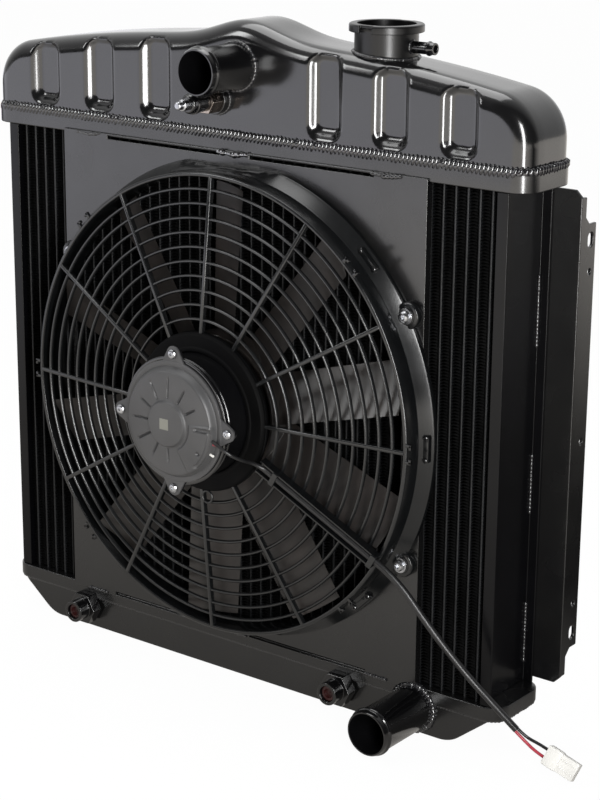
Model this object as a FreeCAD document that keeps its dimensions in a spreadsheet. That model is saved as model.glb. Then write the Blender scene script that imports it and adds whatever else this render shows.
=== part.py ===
import FreeCAD, Part
import math
import os
import re
import Sketcher

# Car radiator with a shroud panel and an electric fan, in millimetres.
# +X is to the right seen from the fan side, +Y runs from the fan to the far face, +Z is up.
# The origin is under the middle of the lower tank: Z = 0 is the tank's bottom, Y = 0 is the front
# face of both headers, X = 0 is the middle of the core.

SIZES = {
    # core and headers
    "sheet_wall": 2.0,
    "header_length": 545.0,
    "header_depth": 70.0,
    "upper_overhang": 8.5,
    "header_rise": 15.0,
    "core_height": 421.5,
    "core_depth": 58.0,
    "braze_gap": 0.05,
    "tube_pitch": 11.2,
    "tube_width": 25.4,
    "tube_thickness": 2.0,
    "tube_wall": 0.35,
    "tube_stub": 3.0,
    "fin_pitch": 14.0,
    "fin_thickness": 0.25,
    # side channels and mounting brackets
    "channel_reach": 9.5,
    "channel_width": 10.5,
    "bracket_sheet": 3.0,
    "bracket_overhang": 16.0,
    "bracket_height": 412.0,
    "bracket_chamfer": 6.0,
    "bracket_neck": 8.0,
    "lug_depth": 16.0,
    "lug_height": 356.0,
    "slot_spacing": 330.0,
    "slot_length": 12.0,
    "slot_width": 8.0,
    "clip_hole_spacing": 279.0,
    "clip_hole_bore": 5.0,
    # upper tank
    "tank_crest": 95.4,
    "crest_fall": 27.8,
    "crown_rise": 13.6,
    "crown_spread": 40.6,
    "tank_corner": 40.0,
    "tank_edge": 15.0,
    "flute_first": 89.0,
    "flute_pitch": 64.0,
    "flute_width": 35.0,
    "flute_floor": 24.0,
    "flute_depth": 6.0,
    "flute_start": 20.0,
    "flute_corner": 12.0,
    # lower tank
    "lower_tank_rise": 30.0,
    "lower_header_rise": 12.0,
    "tank_end_sweep": 46.0,
    "tank_end_lip": 8.0,
    "tank_end_round": 30.0,
    # hose necks
    "hose_bore": 34.1,
    "hose_tube": 38.1,
    "hose_bead": 41.4,
    "bead_width": 3.0,
    "bead_setback": 3.0,
    "weld_width": 3.0,
    "upper_neck_rise": 72.5,
    "upper_neck_length": 53.0,
    "lower_neck_across": 189.0,
    "lower_neck_rise": 22.4,
    "lower_neck_length": 68.0,
    # filler neck and overflow nipple
    "filler_across": 125.0,
    "filler_rise": 114.0,
    "filler_height": 34.0,
    "filler_tube": 51.0,
    "filler_wall": 2.0,
    "filler_lip": 60.0,
    "lip_thickness": 2.5,
    "cam_notch": 12.0,
    "nipple_tube": 9.5,
    "nipple_bore": 6.0,
    "nipple_bead": 11.5,
    "nipple_length": 22.0,
    "nipple_drop": 17.0,
    # temperature sender
    "sender_across": -19.2,
    "sender_rise": 44.0,
    "bung_radius": 12.0,
    "bung_length": 7.0,
    "adapter_flats": 19.0,
    "adapter_length": 13.0,
    "sender_radius": 8.0,
    "sender_length": 20.0,
    "sender_thread": 5.0,
    "stud_radius": 4.8,
    "stud_length": 13.0,
    # oil cooler in the lower tank
    "port_middle": -30.0,
    "port_spacing": 292.0,
    "port_rise": 20.9,
    "port_bore": 14.0,
    "port_nut_flats": 27.0,
    "port_nut_length": 11.0,
    "port_tube": 20.0,
    "port_tube_length": 11.0,
    "plug_recess": 2.5,
    "cooler_tube": 25.4,
    "cooler_wall": 1.2,
    "cooler_overhang": 18.0,
    # shroud panel
    "panel_length": 384.0,
    "panel_lap": 3.0,
    "panel_opening": 396.0,
    "panel_slot_start": 16.0,
    "panel_slot_length": 125.0,
    "panel_slot_height": 3.0,
    # fan frame and grille
    "fan_rise": 211.35,
    "frame_radius": 207.6,
    "frame_flat": 201.0,
    "frame_plate": 6.0,
    "drum_radius": 199.0,
    "drum_wall": 3.0,
    "drum_length": 31.0,
    "ear_across": 180.0,
    "ear_up": 104.0,
    "ear_radius": 11.0,
    "ear_thickness": 8.0,
    "ring_count": 11.0,
    "ring_pitch": 11.87,
    "ring_step": 1.2,
    "ring_width": 2.8,
    "ring_depth": 4.0,
    "spoke_count": 12.0,
    "spoke_width": 3.4,
    "spoke_depth": 4.5,
    "boss_bore": 104.6,
    "boss_plate": 4.0,
    "guide_width": 12.0,
    "guide_offset": 6.0,
    "guide_wall": 1.6,
    "guide_height": 8.4,
    "guide_clip_width": 5.0,
    "guide_clip_start": 15.0,
    # fan screws
    "screw_bore": 5.4,
    "screw_shank": 5.0,
    "screw_head": 9.5,
    "screw_head_height": 3.5,
    "screw_socket": 3.4,
    "washer_radius": 6.5,
    "washer_thickness": 1.2,
    "rivet_nut_radius": 4.2,
    "rivet_nut_length": 7.5,
    # motor
    "can_radius": 52.0,
    "can_wall": 2.0,
    "can_length": 48.0,
    "can_front": 79.0,
    "flange_thickness": 2.5,
    "motor_ear_circle": 57.5,
    "motor_ear_radius": 6.0,
    "motor_screw_shank": 3.0,
    "motor_screw_head": 4.0,
    "cap_rim": 48.0,
    "cap_rise": 9.0,
    "cap_wall": 2.0,
    "cap_disc": 19.5,
    "cap_disc_rise": 4.0,
    "magnet_thickness": 7.0,
    "magnet_length": 28.0,
    "magnet_angle": 130.0,
    "armature_gap": 1.0,
    "armature_length": 24.0,
    "armature_teeth": 12.0,
    "armature_slot": 6.0,
    "winding_rise": 5.0,
    "winding_gap": 1.5,
    "commutator_radius": 12.0,
    "commutator_length": 8.0,
    "brush_gap": 0.3,
    "brush_width": 7.0,
    "brush_length": 14.0,
    "holder_thickness": 2.5,
    "shaft_radius": 4.0,
    "bearing_radius": 11.0,
    "bearing_width": 7.0,
    "running_gap": 0.05,
    # impeller
    "impeller_radius": 190.0,
    "hub_radius": 64.0,
    "hub_wall": 2.5,
    "hub_depth": 22.0,
    "hub_back": 6.5,
    "blade_count": 10.0,
    "blade_chord": 46.0,
    "blade_thickness": 2.5,
    "blade_root_pitch": 30.0,
    "blade_tip_pitch": 22.0,
    "nut_flats": 13.0,
    "nut_thickness": 5.0,
    # pigtail
    "sleeve_radius": 3.0,
    "wire_radius": 1.3,
    "wire_spread": 3.4,
    "connector_length": 29.0,
    "connector_width": 16.5,
    "connector_thickness": 9.0,
    "connector_wall": 1.2,
    "terminal_length": 14.0,
    "terminal_width": 4.0,
}

PLACES = {
    "core_bottom": "lower_tank_rise + lower_header_rise",
    "core_top": "core_bottom + core_height",
    "core_middle": "core_bottom + core_height / 2",
    "core_front": "(header_depth - core_depth) / 2",
    "upper_half": "header_length / 2 + upper_overhang",
    "channel_inner": "header_length / 2 - channel_reach - channel_width",
    "bracket_outer": "header_length / 2 + bracket_overhang",
    "header_corner": "tank_edge + sheet_wall",
    "channel_back": "header_depth - sheet_wall",
    "lug_start": "channel_back + bracket_neck",
    "tank_front": "sheet_wall",
    "upper_neck_height": "core_top + upper_neck_rise",
    "filler_top": "core_top + filler_rise",
    "filler_foot": "filler_top - filler_height",
    "fan_height": "core_bottom + fan_rise",
    "panel_front": "-sheet_wall",
    "plate_front": "panel_front - frame_plate",
    "drum_front": "panel_front - drum_length",
    "boss_front": "drum_front - ring_step * ring_count - boss_plate",
    "boss_radius": "drum_radius - drum_wall / 2 - ring_pitch * ring_count",
    "can_back": "can_length - can_front",
    "hub_rear": "panel_front - hub_back",
    "hub_front": "hub_rear - hub_depth",
    "magnet_inner": "can_radius - can_wall - magnet_thickness",
    "armature_radius": "magnet_inner - armature_gap",
    "armature_back": "can_back - bearing_width - winding_gap - winding_rise",
    "armature_middle": "armature_back - armature_length / 2",
    "cap_inner": "-can_front - cap_rise + cap_wall",
}

doc = FreeCAD.newDocument("CarRadiator")
sheet = doc.addObject("Spreadsheet::Sheet", "Sizes")
for row, (alias, number) in enumerate(SIZES.items(), start=1):
    sheet.set("A%d" % row, alias)
    sheet.set("B%d" % row, str(number))
    sheet.setAlias("B%d" % row, alias)
doc.recompute()

X_AXIS = FreeCAD.Vector(1, 0, 0)
Y_AXIS = FreeCAD.Vector(0, 1, 0)
Z_AXIS = FreeCAD.Vector(0, 0, 1)
UPRIGHT = FreeCAD.Rotation()
TO_FRONT = FreeCAD.Rotation(X_AXIS, 90)
TO_BACK = FreeCAD.Rotation(X_AXIS, -90)
TO_RIGHT = FreeCAD.Rotation(Y_AXIS, 90)
BIG = 1000.0

nodes = {}


def formula(text, prefix="Sizes."):
    """Write a formula of size and place names as an expression of the sheet's aliases."""
    def expand(word):
        name = word[0]
        if name in SIZES:
            return prefix + name
        if name in PLACES:
            return "(" + formula(PLACES[name], prefix) + ")"
        return name
    return re.sub(r"[a-z]+(?:_[a-z]+)*", expand, str(text))


def value(text):
    """The number that a formula of size and place names gives."""
    return float(sheet.evalExpression(formula(text, "")))


def bind(item, **formulas):
    """Tie properties of an object to formulas; x, y and z are its position."""
    for name, text in formulas.items():
        path = "Placement.Base." + name if name in ("x", "y", "z") else name
        item.setExpression(path, formula(text))
    return item


def node(name, item):
    """Keep an object as a piece of the radiator under its own name."""
    item.Label = name
    nodes[name] = item
    return item


def turn(item, rotation):
    item.Placement = FreeCAD.Placement(item.Placement.Base, rotation)
    return item


def box(name, corner, spans):
    """An upright block from its least corner and its three spans."""
    item = doc.addObject("Part::Box", name)
    bind(item, Length=spans[0], Width=spans[1], Height=spans[2])
    return bind(item, x=corner[0], y=corner[1], z=corner[2])


def cylinder(name, radius, length, foot, rotation=TO_BACK):
    """A round bar from its foot's centre along the rotated Z axis."""
    item = turn(doc.addObject("Part::Cylinder", name), rotation)
    bind(item, Radius=radius, Height=length)
    return bind(item, x=foot[0], y=foot[1], z=foot[2])


def hexagon(name, flats, length, foot, rotation=TO_FRONT):
    """A hexagonal bar, given across its flats."""
    item = turn(doc.addObject("Part::Prism", name), rotation)
    item.Polygon = 6
    bind(item, Circumradius="(%s) / 1.7320508" % flats, Height=length)
    return bind(item, x=foot[0], y=foot[1], z=foot[2])


def fuse(name, *pieces):
    item = doc.addObject("Part::MultiFuse", name)
    item.Shapes = list(pieces)
    return item


def cut(name, base, *tools):
    item = doc.addObject("Part::Cut", name)
    item.Base = base
    item.Tool = tools[0] if len(tools) == 1 else fuse(name + "_tools", *tools)
    return item


def mirrored(name, source):
    """The same piece on the other side of the middle plane."""
    item = doc.addObject("Part::Mirroring", name)
    item.Source = source
    item.Normal = X_AXIS
    return item


def shaped(name, shape, placement=None):
    item = doc.addObject("Part::Feature", name)
    item.Shape = shape
    if placement is not None:
        item.Placement = placement
    return item


def sketched_body(name, plane_role, outline):
    """A body with one closed sketch; two named, bound distances hold each corner."""
    body = doc.addObject("PartDesign::Body", name)
    sketch = body.newObject("Sketcher::SketchObject", name + "_outline")
    plane = [face for face in body.Origin.OriginFeatures if face.Role == plane_role][0]
    sketch.AttachmentSupport = (plane, [""])
    sketch.MapMode = "FlatFace"
    corners = [FreeCAD.Vector(value(across), value(up), 0) for across, up in outline]
    count = len(corners)
    for index in range(count):
        sketch.addGeometry(Part.LineSegment(corners[index], corners[(index + 1) % count]))
    for index in range(count):
        sketch.addConstraint(Sketcher.Constraint("Coincident", index, 2, (index + 1) % count, 1))
    for index, (across, up) in enumerate(outline):
        held = (("DistanceX", corners[index].x, across), ("DistanceY", corners[index].y, up))
        for kind, start, text in held:
            label = "%s_%d" % ("across" if kind == "DistanceX" else "up", index)
            number = sketch.addConstraint(Sketcher.Constraint(kind, -1, 1, index, 1, start))
            sketch.renameConstraint(number, label)
            sketch.setExpression("Constraints." + label, formula(text))
    return body, sketch


def turned(name, outline, foot, rotation=TO_FRONT):
    """A piece of revolution from (radius, height) corners, its axis along the rotated Z axis."""
    body, sketch = sketched_body(name, "XZ_Plane", outline)
    spin = body.newObject("PartDesign::Revolution", name + "_turned")
    spin.Profile = sketch
    spin.ReferenceAxis = (sketch, ["V_Axis"])
    spin.Angle = 360
    turn(body, rotation)
    return bind(body, x=foot[0], y=foot[1], z=foot[2])


def padded(name, plane_role, outline, depth, foot=("0", "0", "0")):
    """A flat outline given a depth: XY pads go up, XZ pads go to the front, YZ pads go right."""
    body, sketch = sketched_body(name, plane_role, outline)
    pad = body.newObject("PartDesign::Pad", name + "_pad")
    pad.Profile = sketch
    bind(pad, Length=depth)
    return bind(body, x=foot[0], y=foot[1], z=foot[2])


def rectangle(left, low, right, high):
    return [(left, low), (right, low), (right, high), (left, high)]


def ring_outline(inner, outer, low, high):
    return [(inner, low), (outer, low), (outer, high), (inner, high)]


def round_uprights(body, radius):
    """Round the four upright edges of a body's pad."""
    doc.recompute()
    pad = body.Tip
    names = []
    for index, edge in enumerate(pad.Shape.Edges, start=1):
        along = edge.Vertexes[0].Point - edge.Vertexes[-1].Point
        if abs(along.z) > 0.99 * edge.Length:
            names.append("Edge%d" % index)
    fillet = body.newObject("PartDesign::Fillet", body.Name + "_rounded")
    fillet.Base = (pad, names)
    bind(fillet, Radius=radius)
    return body


def slab(name, half_length, front, back, low, rise, corner):
    """An upright block with rounded upright edges."""
    outline = rectangle("-(%s)" % half_length, front, half_length, back)
    body = padded(name, "XY_Plane", outline, rise, ("0", "0", low))
    return round_uprights(body, corner)


def at(x, y, z):
    return FreeCAD.Vector(x, y, z)


def polygon_face(points):
    return Part.Face(Part.makePolygon(points + [points[0]]))


def spun(shape, angle, centre):
    """A copy of a shape turned about an axis along Y through a centre."""
    copy = shape.copy()
    copy.rotate(centre, Y_AXIS, angle)
    return copy


# ---------------------------------------------------------------- core and headers

def oval(length, width, centre):
    """A flat oval wire, its long way along Y."""
    end = width / 2
    reach = length / 2 - end
    front = centre.y - reach
    back = centre.y + reach
    left = centre.x - end
    right = centre.x + end
    z = centre.z
    return Part.Wire([
        Part.LineSegment(at(left, back, z), at(left, front, z)).toShape(),
        Part.Arc(at(left, front, z), at(centre.x, front - end, z), at(right, front, z)).toShape(),
        Part.LineSegment(at(right, front, z), at(right, back, z)).toShape(),
        Part.Arc(at(right, back, z), at(centre.x, back + end, z), at(left, back, z)).toShape(),
    ])


def tube_places():
    """Plan positions of the tubes: as many columns as fit between the channels, in two rows."""
    room = value("channel_inner - tube_thickness / 2 - braze_gap")
    pitch = value("tube_pitch")
    side = int(room // pitch)
    rows = (value("core_front + tube_width / 2"),
            value("header_depth - core_front - tube_width / 2"))
    return [(column * pitch, row) for column in range(-side, side + 1) for row in rows]


def tube_set(name, grow, wall, low, high):
    """All tubes as one set; a wall of 0 gives plugs that cut the header slots."""
    length = value("tube_width") + 2 * grow
    width = value("tube_thickness") + 2 * grow
    solids = []
    for x, y in tube_places():
        outer = Part.Face(oval(length, width, at(x, y, low)))
        if wall:
            inner = Part.Face(oval(length - 2 * wall, width - 2 * wall, at(x, y, low)))
            outer = outer.cut(inner)
        solids.append(outer.extrude(at(0, 0, high - low)))
    return shaped(name, Part.makeCompound(solids))


def build_core():
    low = value("core_bottom - sheet_wall - tube_stub")
    high = value("core_top + sheet_wall + tube_stub")
    gap = value("braze_gap")
    node("core_tubes", tube_set("core_tubes", 0, value("tube_wall"), low, high))

    columns = sorted(set(x for x, y in tube_places()))
    half = value("tube_thickness / 2")
    edge = value("channel_inner")
    lanes = [(-edge, columns[0] - half)]
    lanes += [(first + half, second - half) for first, second in zip(columns, columns[1:])]
    lanes.append((columns[-1] + half, edge))
    node("core_fins", shaped("core_fins", Part.makeCompound([fin(lane, gap) for lane in lanes])))


def fin(lane, gap):
    """One corrugated ribbon that zigzags up a lane between two tubes."""
    left = lane[0] + gap
    low = value("core_bottom") + gap
    high = value("core_top") - gap
    folds = 2 * round((high - low) / value("fin_pitch"))
    step = (high - low) / folds
    lean = math.atan2(step, lane[1] - lane[0])
    thickness = value("fin_thickness") / math.sin(lean)
    right = lane[1] - gap - thickness
    front = value("core_front")
    path = [at(left if fold % 2 else right, front, low + fold * step)
            for fold in range(folds + 1)]
    far_path = [point + at(thickness, 0, 0) for point in reversed(path)]
    return polygon_face(path + far_path).extrude(at(0, value("core_depth"), 0))


def build_header(name, half, plate_low, rim_low, rise, *notches):
    """A flanged plate whose rim holds the tank and whose slots hold the tubes."""
    rim_rise = "%s + 1" % rise
    outer = slab(name + "_outer", half, "0", "header_depth", rim_low, rise,
                 "header_corner")
    inner_low = "%s + sheet_wall" % plate_low if plate_low == rim_low else "%s - 1" % rim_low
    inner = slab(name + "_inner", half + " - sheet_wall", "sheet_wall",
                 "header_depth - sheet_wall", inner_low, rim_rise + " - sheet_wall",
                 "header_corner - sheet_wall")
    low = value(plate_low) - 1
    slots = tube_set(name + "_slots", value("braze_gap"), 0, low, low + value("sheet_wall") + 2)
    node(name, cut(name, outer, inner, slots, *notches))


def build_headers():
    build_header("upper_header", "upper_half", "core_top", "core_top", "header_rise")
    build_header("lower_header", "header_length / 2", "core_bottom - sheet_wall",
                 "lower_tank_rise", "lower_header_rise", neck_clearance("header_neck_notch"))


def neck_clearance(name):
    """The round notch that a sheet in front of the lower tank leaves for the lower hose neck."""
    return cylinder(name, "hose_tube / 2 + weld_width + braze_gap", "3 * sheet_wall",
                    ("lower_neck_across", "tank_front - 3 * sheet_wall", "lower_neck_rise"))


# ---------------------------------------------------------------- sides

def build_sides():
    """Outward-open channels beside the core, and the angle brackets behind them."""
    inner = "channel_inner"
    web = "channel_inner + sheet_wall"
    outer = "channel_inner + channel_width"
    front = "sheet_wall"
    back = "channel_back"
    outline = [
        (inner, front), (outer, front), (outer, front + " + sheet_wall"),
        (web, front + " + sheet_wall"), (web, back + " - sheet_wall"),
        (outer, back + " - sheet_wall"), (outer, back), (inner, back),
    ]
    right = padded("side_channel_right", "XY_Plane", outline, "core_height",
                   ("0", "0", "core_bottom"))
    node("side_channel_right", right)
    node("side_channel_left", mirrored("side_channel_left", right))

    low = "core_middle - bracket_height / 2"
    high = "core_middle + bracket_height / 2"
    reach = "bracket_outer"
    leg_outline = [
        (web, low), (reach + " - bracket_chamfer", low), (reach, low + " + bracket_chamfer"),
        (reach, high + " - bracket_chamfer"), (reach + " - bracket_chamfer", high), (web, high),
    ]
    leg = padded("bracket_leg", "XZ_Plane", leg_outline, "bracket_sheet",
                 ("0", "channel_back + bracket_sheet", "0"))
    lug_low = "core_middle - lug_height / 2"
    lug_high = "core_middle + lug_height / 2"
    near = low + " + bracket_chamfer"
    far = high + " - bracket_chamfer"
    tip = "lug_start + lug_depth"
    flange_outline = [
        (back, near), ("lug_start", near), ("lug_start", lug_low + " - bracket_chamfer"),
        ("lug_start + bracket_chamfer", lug_low), (tip, lug_low), (tip, lug_high),
        ("lug_start + bracket_chamfer", lug_high), ("lug_start", lug_high + " + bracket_chamfer"),
        ("lug_start", far), (back, far),
    ]
    flange = padded("bracket_flange", "YZ_Plane", flange_outline, "bracket_sheet",
                    (reach + " - bracket_sheet", "0", "0"))
    holes = []
    start = reach + " - bracket_sheet - 1"
    through = "bracket_sheet + 2"
    hole_y = "lug_start + lug_depth / 2"
    for side in ("-", "+"):
        middle = "core_middle %s slot_spacing / 2" % side
        for end in ("-", "+"):
            place = (start, hole_y, middle + " %s (slot_length - slot_width) / 2" % end)
            name = "bracket_slot_end_%s%s" % (side, end)
            holes.append(cylinder(name, "slot_width / 2", through, place, TO_RIGHT))
        corner = (start, hole_y + " - slot_width / 2", middle + " - (slot_length - slot_width) / 2")
        holes.append(box("bracket_slot", corner, (through, "slot_width", "slot_length - slot_width")))
    for side in (-1, 0, 1):
        place = (start, hole_y, "core_middle + %d * clip_hole_spacing / 2" % side)
        holes.append(cylinder("bracket_hole", "clip_hole_bore / 2", through, place, TO_RIGHT))
    blank = fuse("bracket_blank", leg, flange)
    right_bracket = cut("mount_bracket_right", blank, *holes)
    node("mount_bracket_right", right_bracket)
    node("mount_bracket_left", mirrored("mount_bracket_left", right_bracket))


# ---------------------------------------------------------------- upper tank

def crest_height(x, inset):
    """Height of the upper tank's top line: a shallow bow with a round crown in its middle."""
    half = value("upper_half - sheet_wall")
    bow = value("crest_fall") * (x / half) ** 2
    crown = value("crown_rise") * math.exp(-(x / value("crown_spread")) ** 2)
    return value("core_top + tank_crest") - bow + crown - inset


def upper_tank_block(inset, front, back, low, edge):
    """The tank's outer or inner form; its two long rims are rounded."""
    half = value("upper_half - sheet_wall") - inset
    corner = value("tank_corner") - inset
    lean = 0.0
    for _ in range(6):
        start_x = half - corner + corner * math.sin(lean)
        lean = math.atan(2 * value("crest_fall") * start_x / value("upper_half - sheet_wall") ** 2)
    start_z = crest_height(start_x, inset)
    centre = at(half - corner, front, start_z - corner * math.cos(lean))
    middle_lean = (math.pi / 2 + lean) / 2
    middle = centre + at(corner * math.sin(middle_lean), 0, corner * math.cos(middle_lean))
    steps = 10
    crest = []
    for step in range(-steps, steps + 1):
        x = start_x * (step / steps) * math.sqrt(abs(step / steps))
        crest.append(at(x, front, crest_height(x, inset)))
    slope = at(math.cos(lean), 0, -math.sin(lean))
    spline = Part.BSplineCurve()
    spline.interpolate(Points=crest, InitialTangent=at(slope.x, 0, -slope.z), FinalTangent=slope)
    flip = at(-1, 1, 1)
    side = at(half, front, centre.z)
    mirrored_middle = at(middle.x * flip.x, front, middle.z)
    wire = Part.Wire([
        Part.LineSegment(at(-half, front, low), at(-half, front, centre.z)).toShape(),
        Part.Arc(at(-half, front, centre.z), mirrored_middle, crest[0]).toShape(),
        spline.toShape(),
        Part.Arc(crest[-1], middle, side).toShape(),
        Part.LineSegment(side, at(half, front, low)).toShape(),
        Part.LineSegment(at(half, front, low), at(-half, front, low)).toShape(),
    ])
    block = Part.Face(wire).extrude(at(0, back - front, 0))
    rims = []
    for line in block.Edges:
        bounds = line.BoundBox
        flat = bounds.YLength < 0.01
        along_foot = bounds.ZLength < 0.01 and bounds.ZMin < low + 0.01
        if flat and not along_foot:
            rims.append(line)
    return block.makeFillet(edge, rims)


def flute(x, face, inward, grow):
    """A pressed flute with rounded lower corners, whose walls slope to a narrower floor."""
    low = value("core_top + flute_start")
    top = value("core_top + tank_crest + crown_rise") + 20
    slope = value("(flute_width - flute_floor) / 2 / flute_depth")
    mouth = value("flute_width / 2") + grow + slope
    floor = value("flute_floor / 2") + grow
    outlines = []
    for reach, half in ((-1.0, mouth), (value("flute_depth") + grow, floor)):
        corner = value("flute_corner") * half / mouth
        y = face + inward * reach
        foot = low + mouth - half
        bend = corner * (1 - math.sqrt(0.5))
        outlines.append(Part.Wire([
            Part.LineSegment(at(x - half, y, top), at(x - half, y, foot + corner)).toShape(),
            Part.Arc(at(x - half, y, foot + corner), at(x - half + bend, y, foot + bend),
                     at(x - half + corner, y, foot)).toShape(),
            Part.LineSegment(at(x - half + corner, y, foot), at(x + half - corner, y, foot)).toShape(),
            Part.Arc(at(x + half - corner, y, foot), at(x + half - bend, y, foot + bend),
                     at(x + half, y, foot + corner)).toShape(),
            Part.LineSegment(at(x + half, y, foot + corner), at(x + half, y, top)).toShape(),
            Part.LineSegment(at(x + half, y, top), at(x - half, y, top)).toShape(),
        ]))
    return Part.makeLoft(outlines, True, True)


def flute_set(grow):
    """The flutes of both faces: as many each side as fit inside the corners."""
    first = value("flute_first")
    pitch = value("flute_pitch")
    room = value("upper_half - sheet_wall - tank_corner - flute_width / 4")
    count = int((room - first) // pitch) + 1
    front = value("tank_front")
    back = value("header_depth - sheet_wall")
    tools = []
    for index in range(count):
        for side in (-1, 1):
            x = side * (first + index * pitch)
            tools.append(flute(x, front, 1, grow))
            tools.append(flute(x, back, -1, grow))
    return tools


def build_upper_tank():
    wall = value("sheet_wall")
    front = value("tank_front")
    back = value("header_depth - sheet_wall")
    low = value("core_top + sheet_wall")
    edge = value("tank_edge")
    outer = upper_tank_block(0, front, back, low, edge)
    inner = upper_tank_block(wall, front + wall, back - wall, low - 1, edge - wall)
    cavity = inner.cut(flute_set(wall))
    shell = outer.cut(flute_set(0) + [cavity])
    blank = shaped("upper_tank_shell", shell)
    bores = [
        cylinder("upper_neck_hole", "hose_bore / 2", "4 * sheet_wall",
                 ("0", "tank_front - sheet_wall", "upper_neck_height")),
        cylinder("sender_hole", "bung_radius - 4", "4 * sheet_wall",
                 ("sender_across", "tank_front - sheet_wall", "core_top + sender_rise")),
        cylinder("filler_hole", "filler_tube / 2 + braze_gap", "60",
                 ("filler_across", "header_depth / 2", "filler_foot - 5"), UPRIGHT),
    ]
    node("upper_tank", cut("upper_tank", blank, *bores))


# ---------------------------------------------------------------- lower tank

def lower_tank_outline(inset, low, high):
    """Front view of the lower tank: a flat bottom whose ends sweep up to the header."""
    half = value("header_length / 2 - sheet_wall") - inset
    sweep = value("tank_end_sweep")
    lip = value("tank_end_lip")
    rise = value("lower_tank_rise")
    foot = half - sweep
    knee = half - lip
    radius = value("tank_end_round")
    angle = math.atan2(rise, knee - foot)
    tangent = radius * math.tan(angle / 2)
    centre = at(foot - tangent, 0, low + radius)
    right = [
        at(foot - tangent, 0, low),
        centre + at(radius * math.sin(angle / 2), 0, -radius * math.cos(angle / 2)),
        centre + at(radius * math.sin(angle), 0, -radius * math.cos(angle)),
        at(knee, 0, low + rise - inset * math.tan(angle / 2)),
        at(half, 0, low + rise),
        at(half, 0, high),
    ]
    left = [at(-point.x, 0, point.z) for point in right]
    return Part.Wire([
        Part.LineSegment(left[0], right[0]).toShape(),
        Part.Arc(right[0], right[1], right[2]).toShape(),
        Part.LineSegment(right[2], right[3]).toShape(),
        Part.LineSegment(right[3], right[4]).toShape(),
        Part.LineSegment(right[4], right[5]).toShape(),
        Part.LineSegment(right[5], left[5]).toShape(),
        Part.LineSegment(left[5], left[4]).toShape(),
        Part.LineSegment(left[4], left[3]).toShape(),
        Part.LineSegment(left[3], left[2]).toShape(),
        Part.Arc(left[2], left[1], left[0]).toShape(),
    ])


def lower_tank_block(inset, front, back, low, high):
    face = Part.Face(lower_tank_outline(inset, low, high))
    face.translate(at(0, front, 0))
    return face.extrude(at(0, back - front, 0))


def build_lower_tank():
    wall = value("sheet_wall")
    front = value("tank_front")
    back = value("header_depth - sheet_wall")
    high = value("core_bottom - sheet_wall")
    outer = lower_tank_block(0, front, back, 0, high)
    corner = value("header_corner - sheet_wall")
    uprights = [line for line in outer.Edges
                if line.BoundBox.ZLength > 1 and line.BoundBox.XLength < 0.01
                and line.BoundBox.YLength < 0.01]
    outer = outer.makeFillet(corner, uprights)
    inner = lower_tank_block(wall, front + wall, back - wall, wall, high + 1)
    blank = shaped("lower_tank_shell", outer.cut(inner))
    bores = [cylinder("lower_neck_hole", "hose_bore / 2", "4 * sheet_wall",
                      ("lower_neck_across", "tank_front - sheet_wall", "lower_neck_rise"))]
    for side in ("-", "+"):
        place = ("port_middle %s port_spacing / 2" % side, "tank_front - sheet_wall", "port_rise")
        bores.append(cylinder("port_hole", "port_bore / 2 + sheet_wall + braze_gap",
                              "4 * sheet_wall", place))
    node("lower_tank", cut("lower_tank", blank, *bores))


# ---------------------------------------------------------------- necks and fittings

def hose_neck(name, length, across, height):
    """A beaded hose tube that stands out from a tank face, with its weld at the foot."""
    tube = "hose_tube / 2"
    bead = "hose_bead / 2"
    outline = [
        ("hose_bore / 2", "0"), (tube + " + weld_width", "0"), (tube, "weld_width"),
        (tube, length + " - bead_setback - bead_width"),
        (bead, length + " - bead_setback - 0.7 * bead_width"),
        (bead, length + " - bead_setback - 0.3 * bead_width"),
        (tube, length + " - bead_setback"), (tube, length), ("hose_bore / 2", length),
    ]
    node(name, turned(name, outline, (across, "tank_front", height)))


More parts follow.
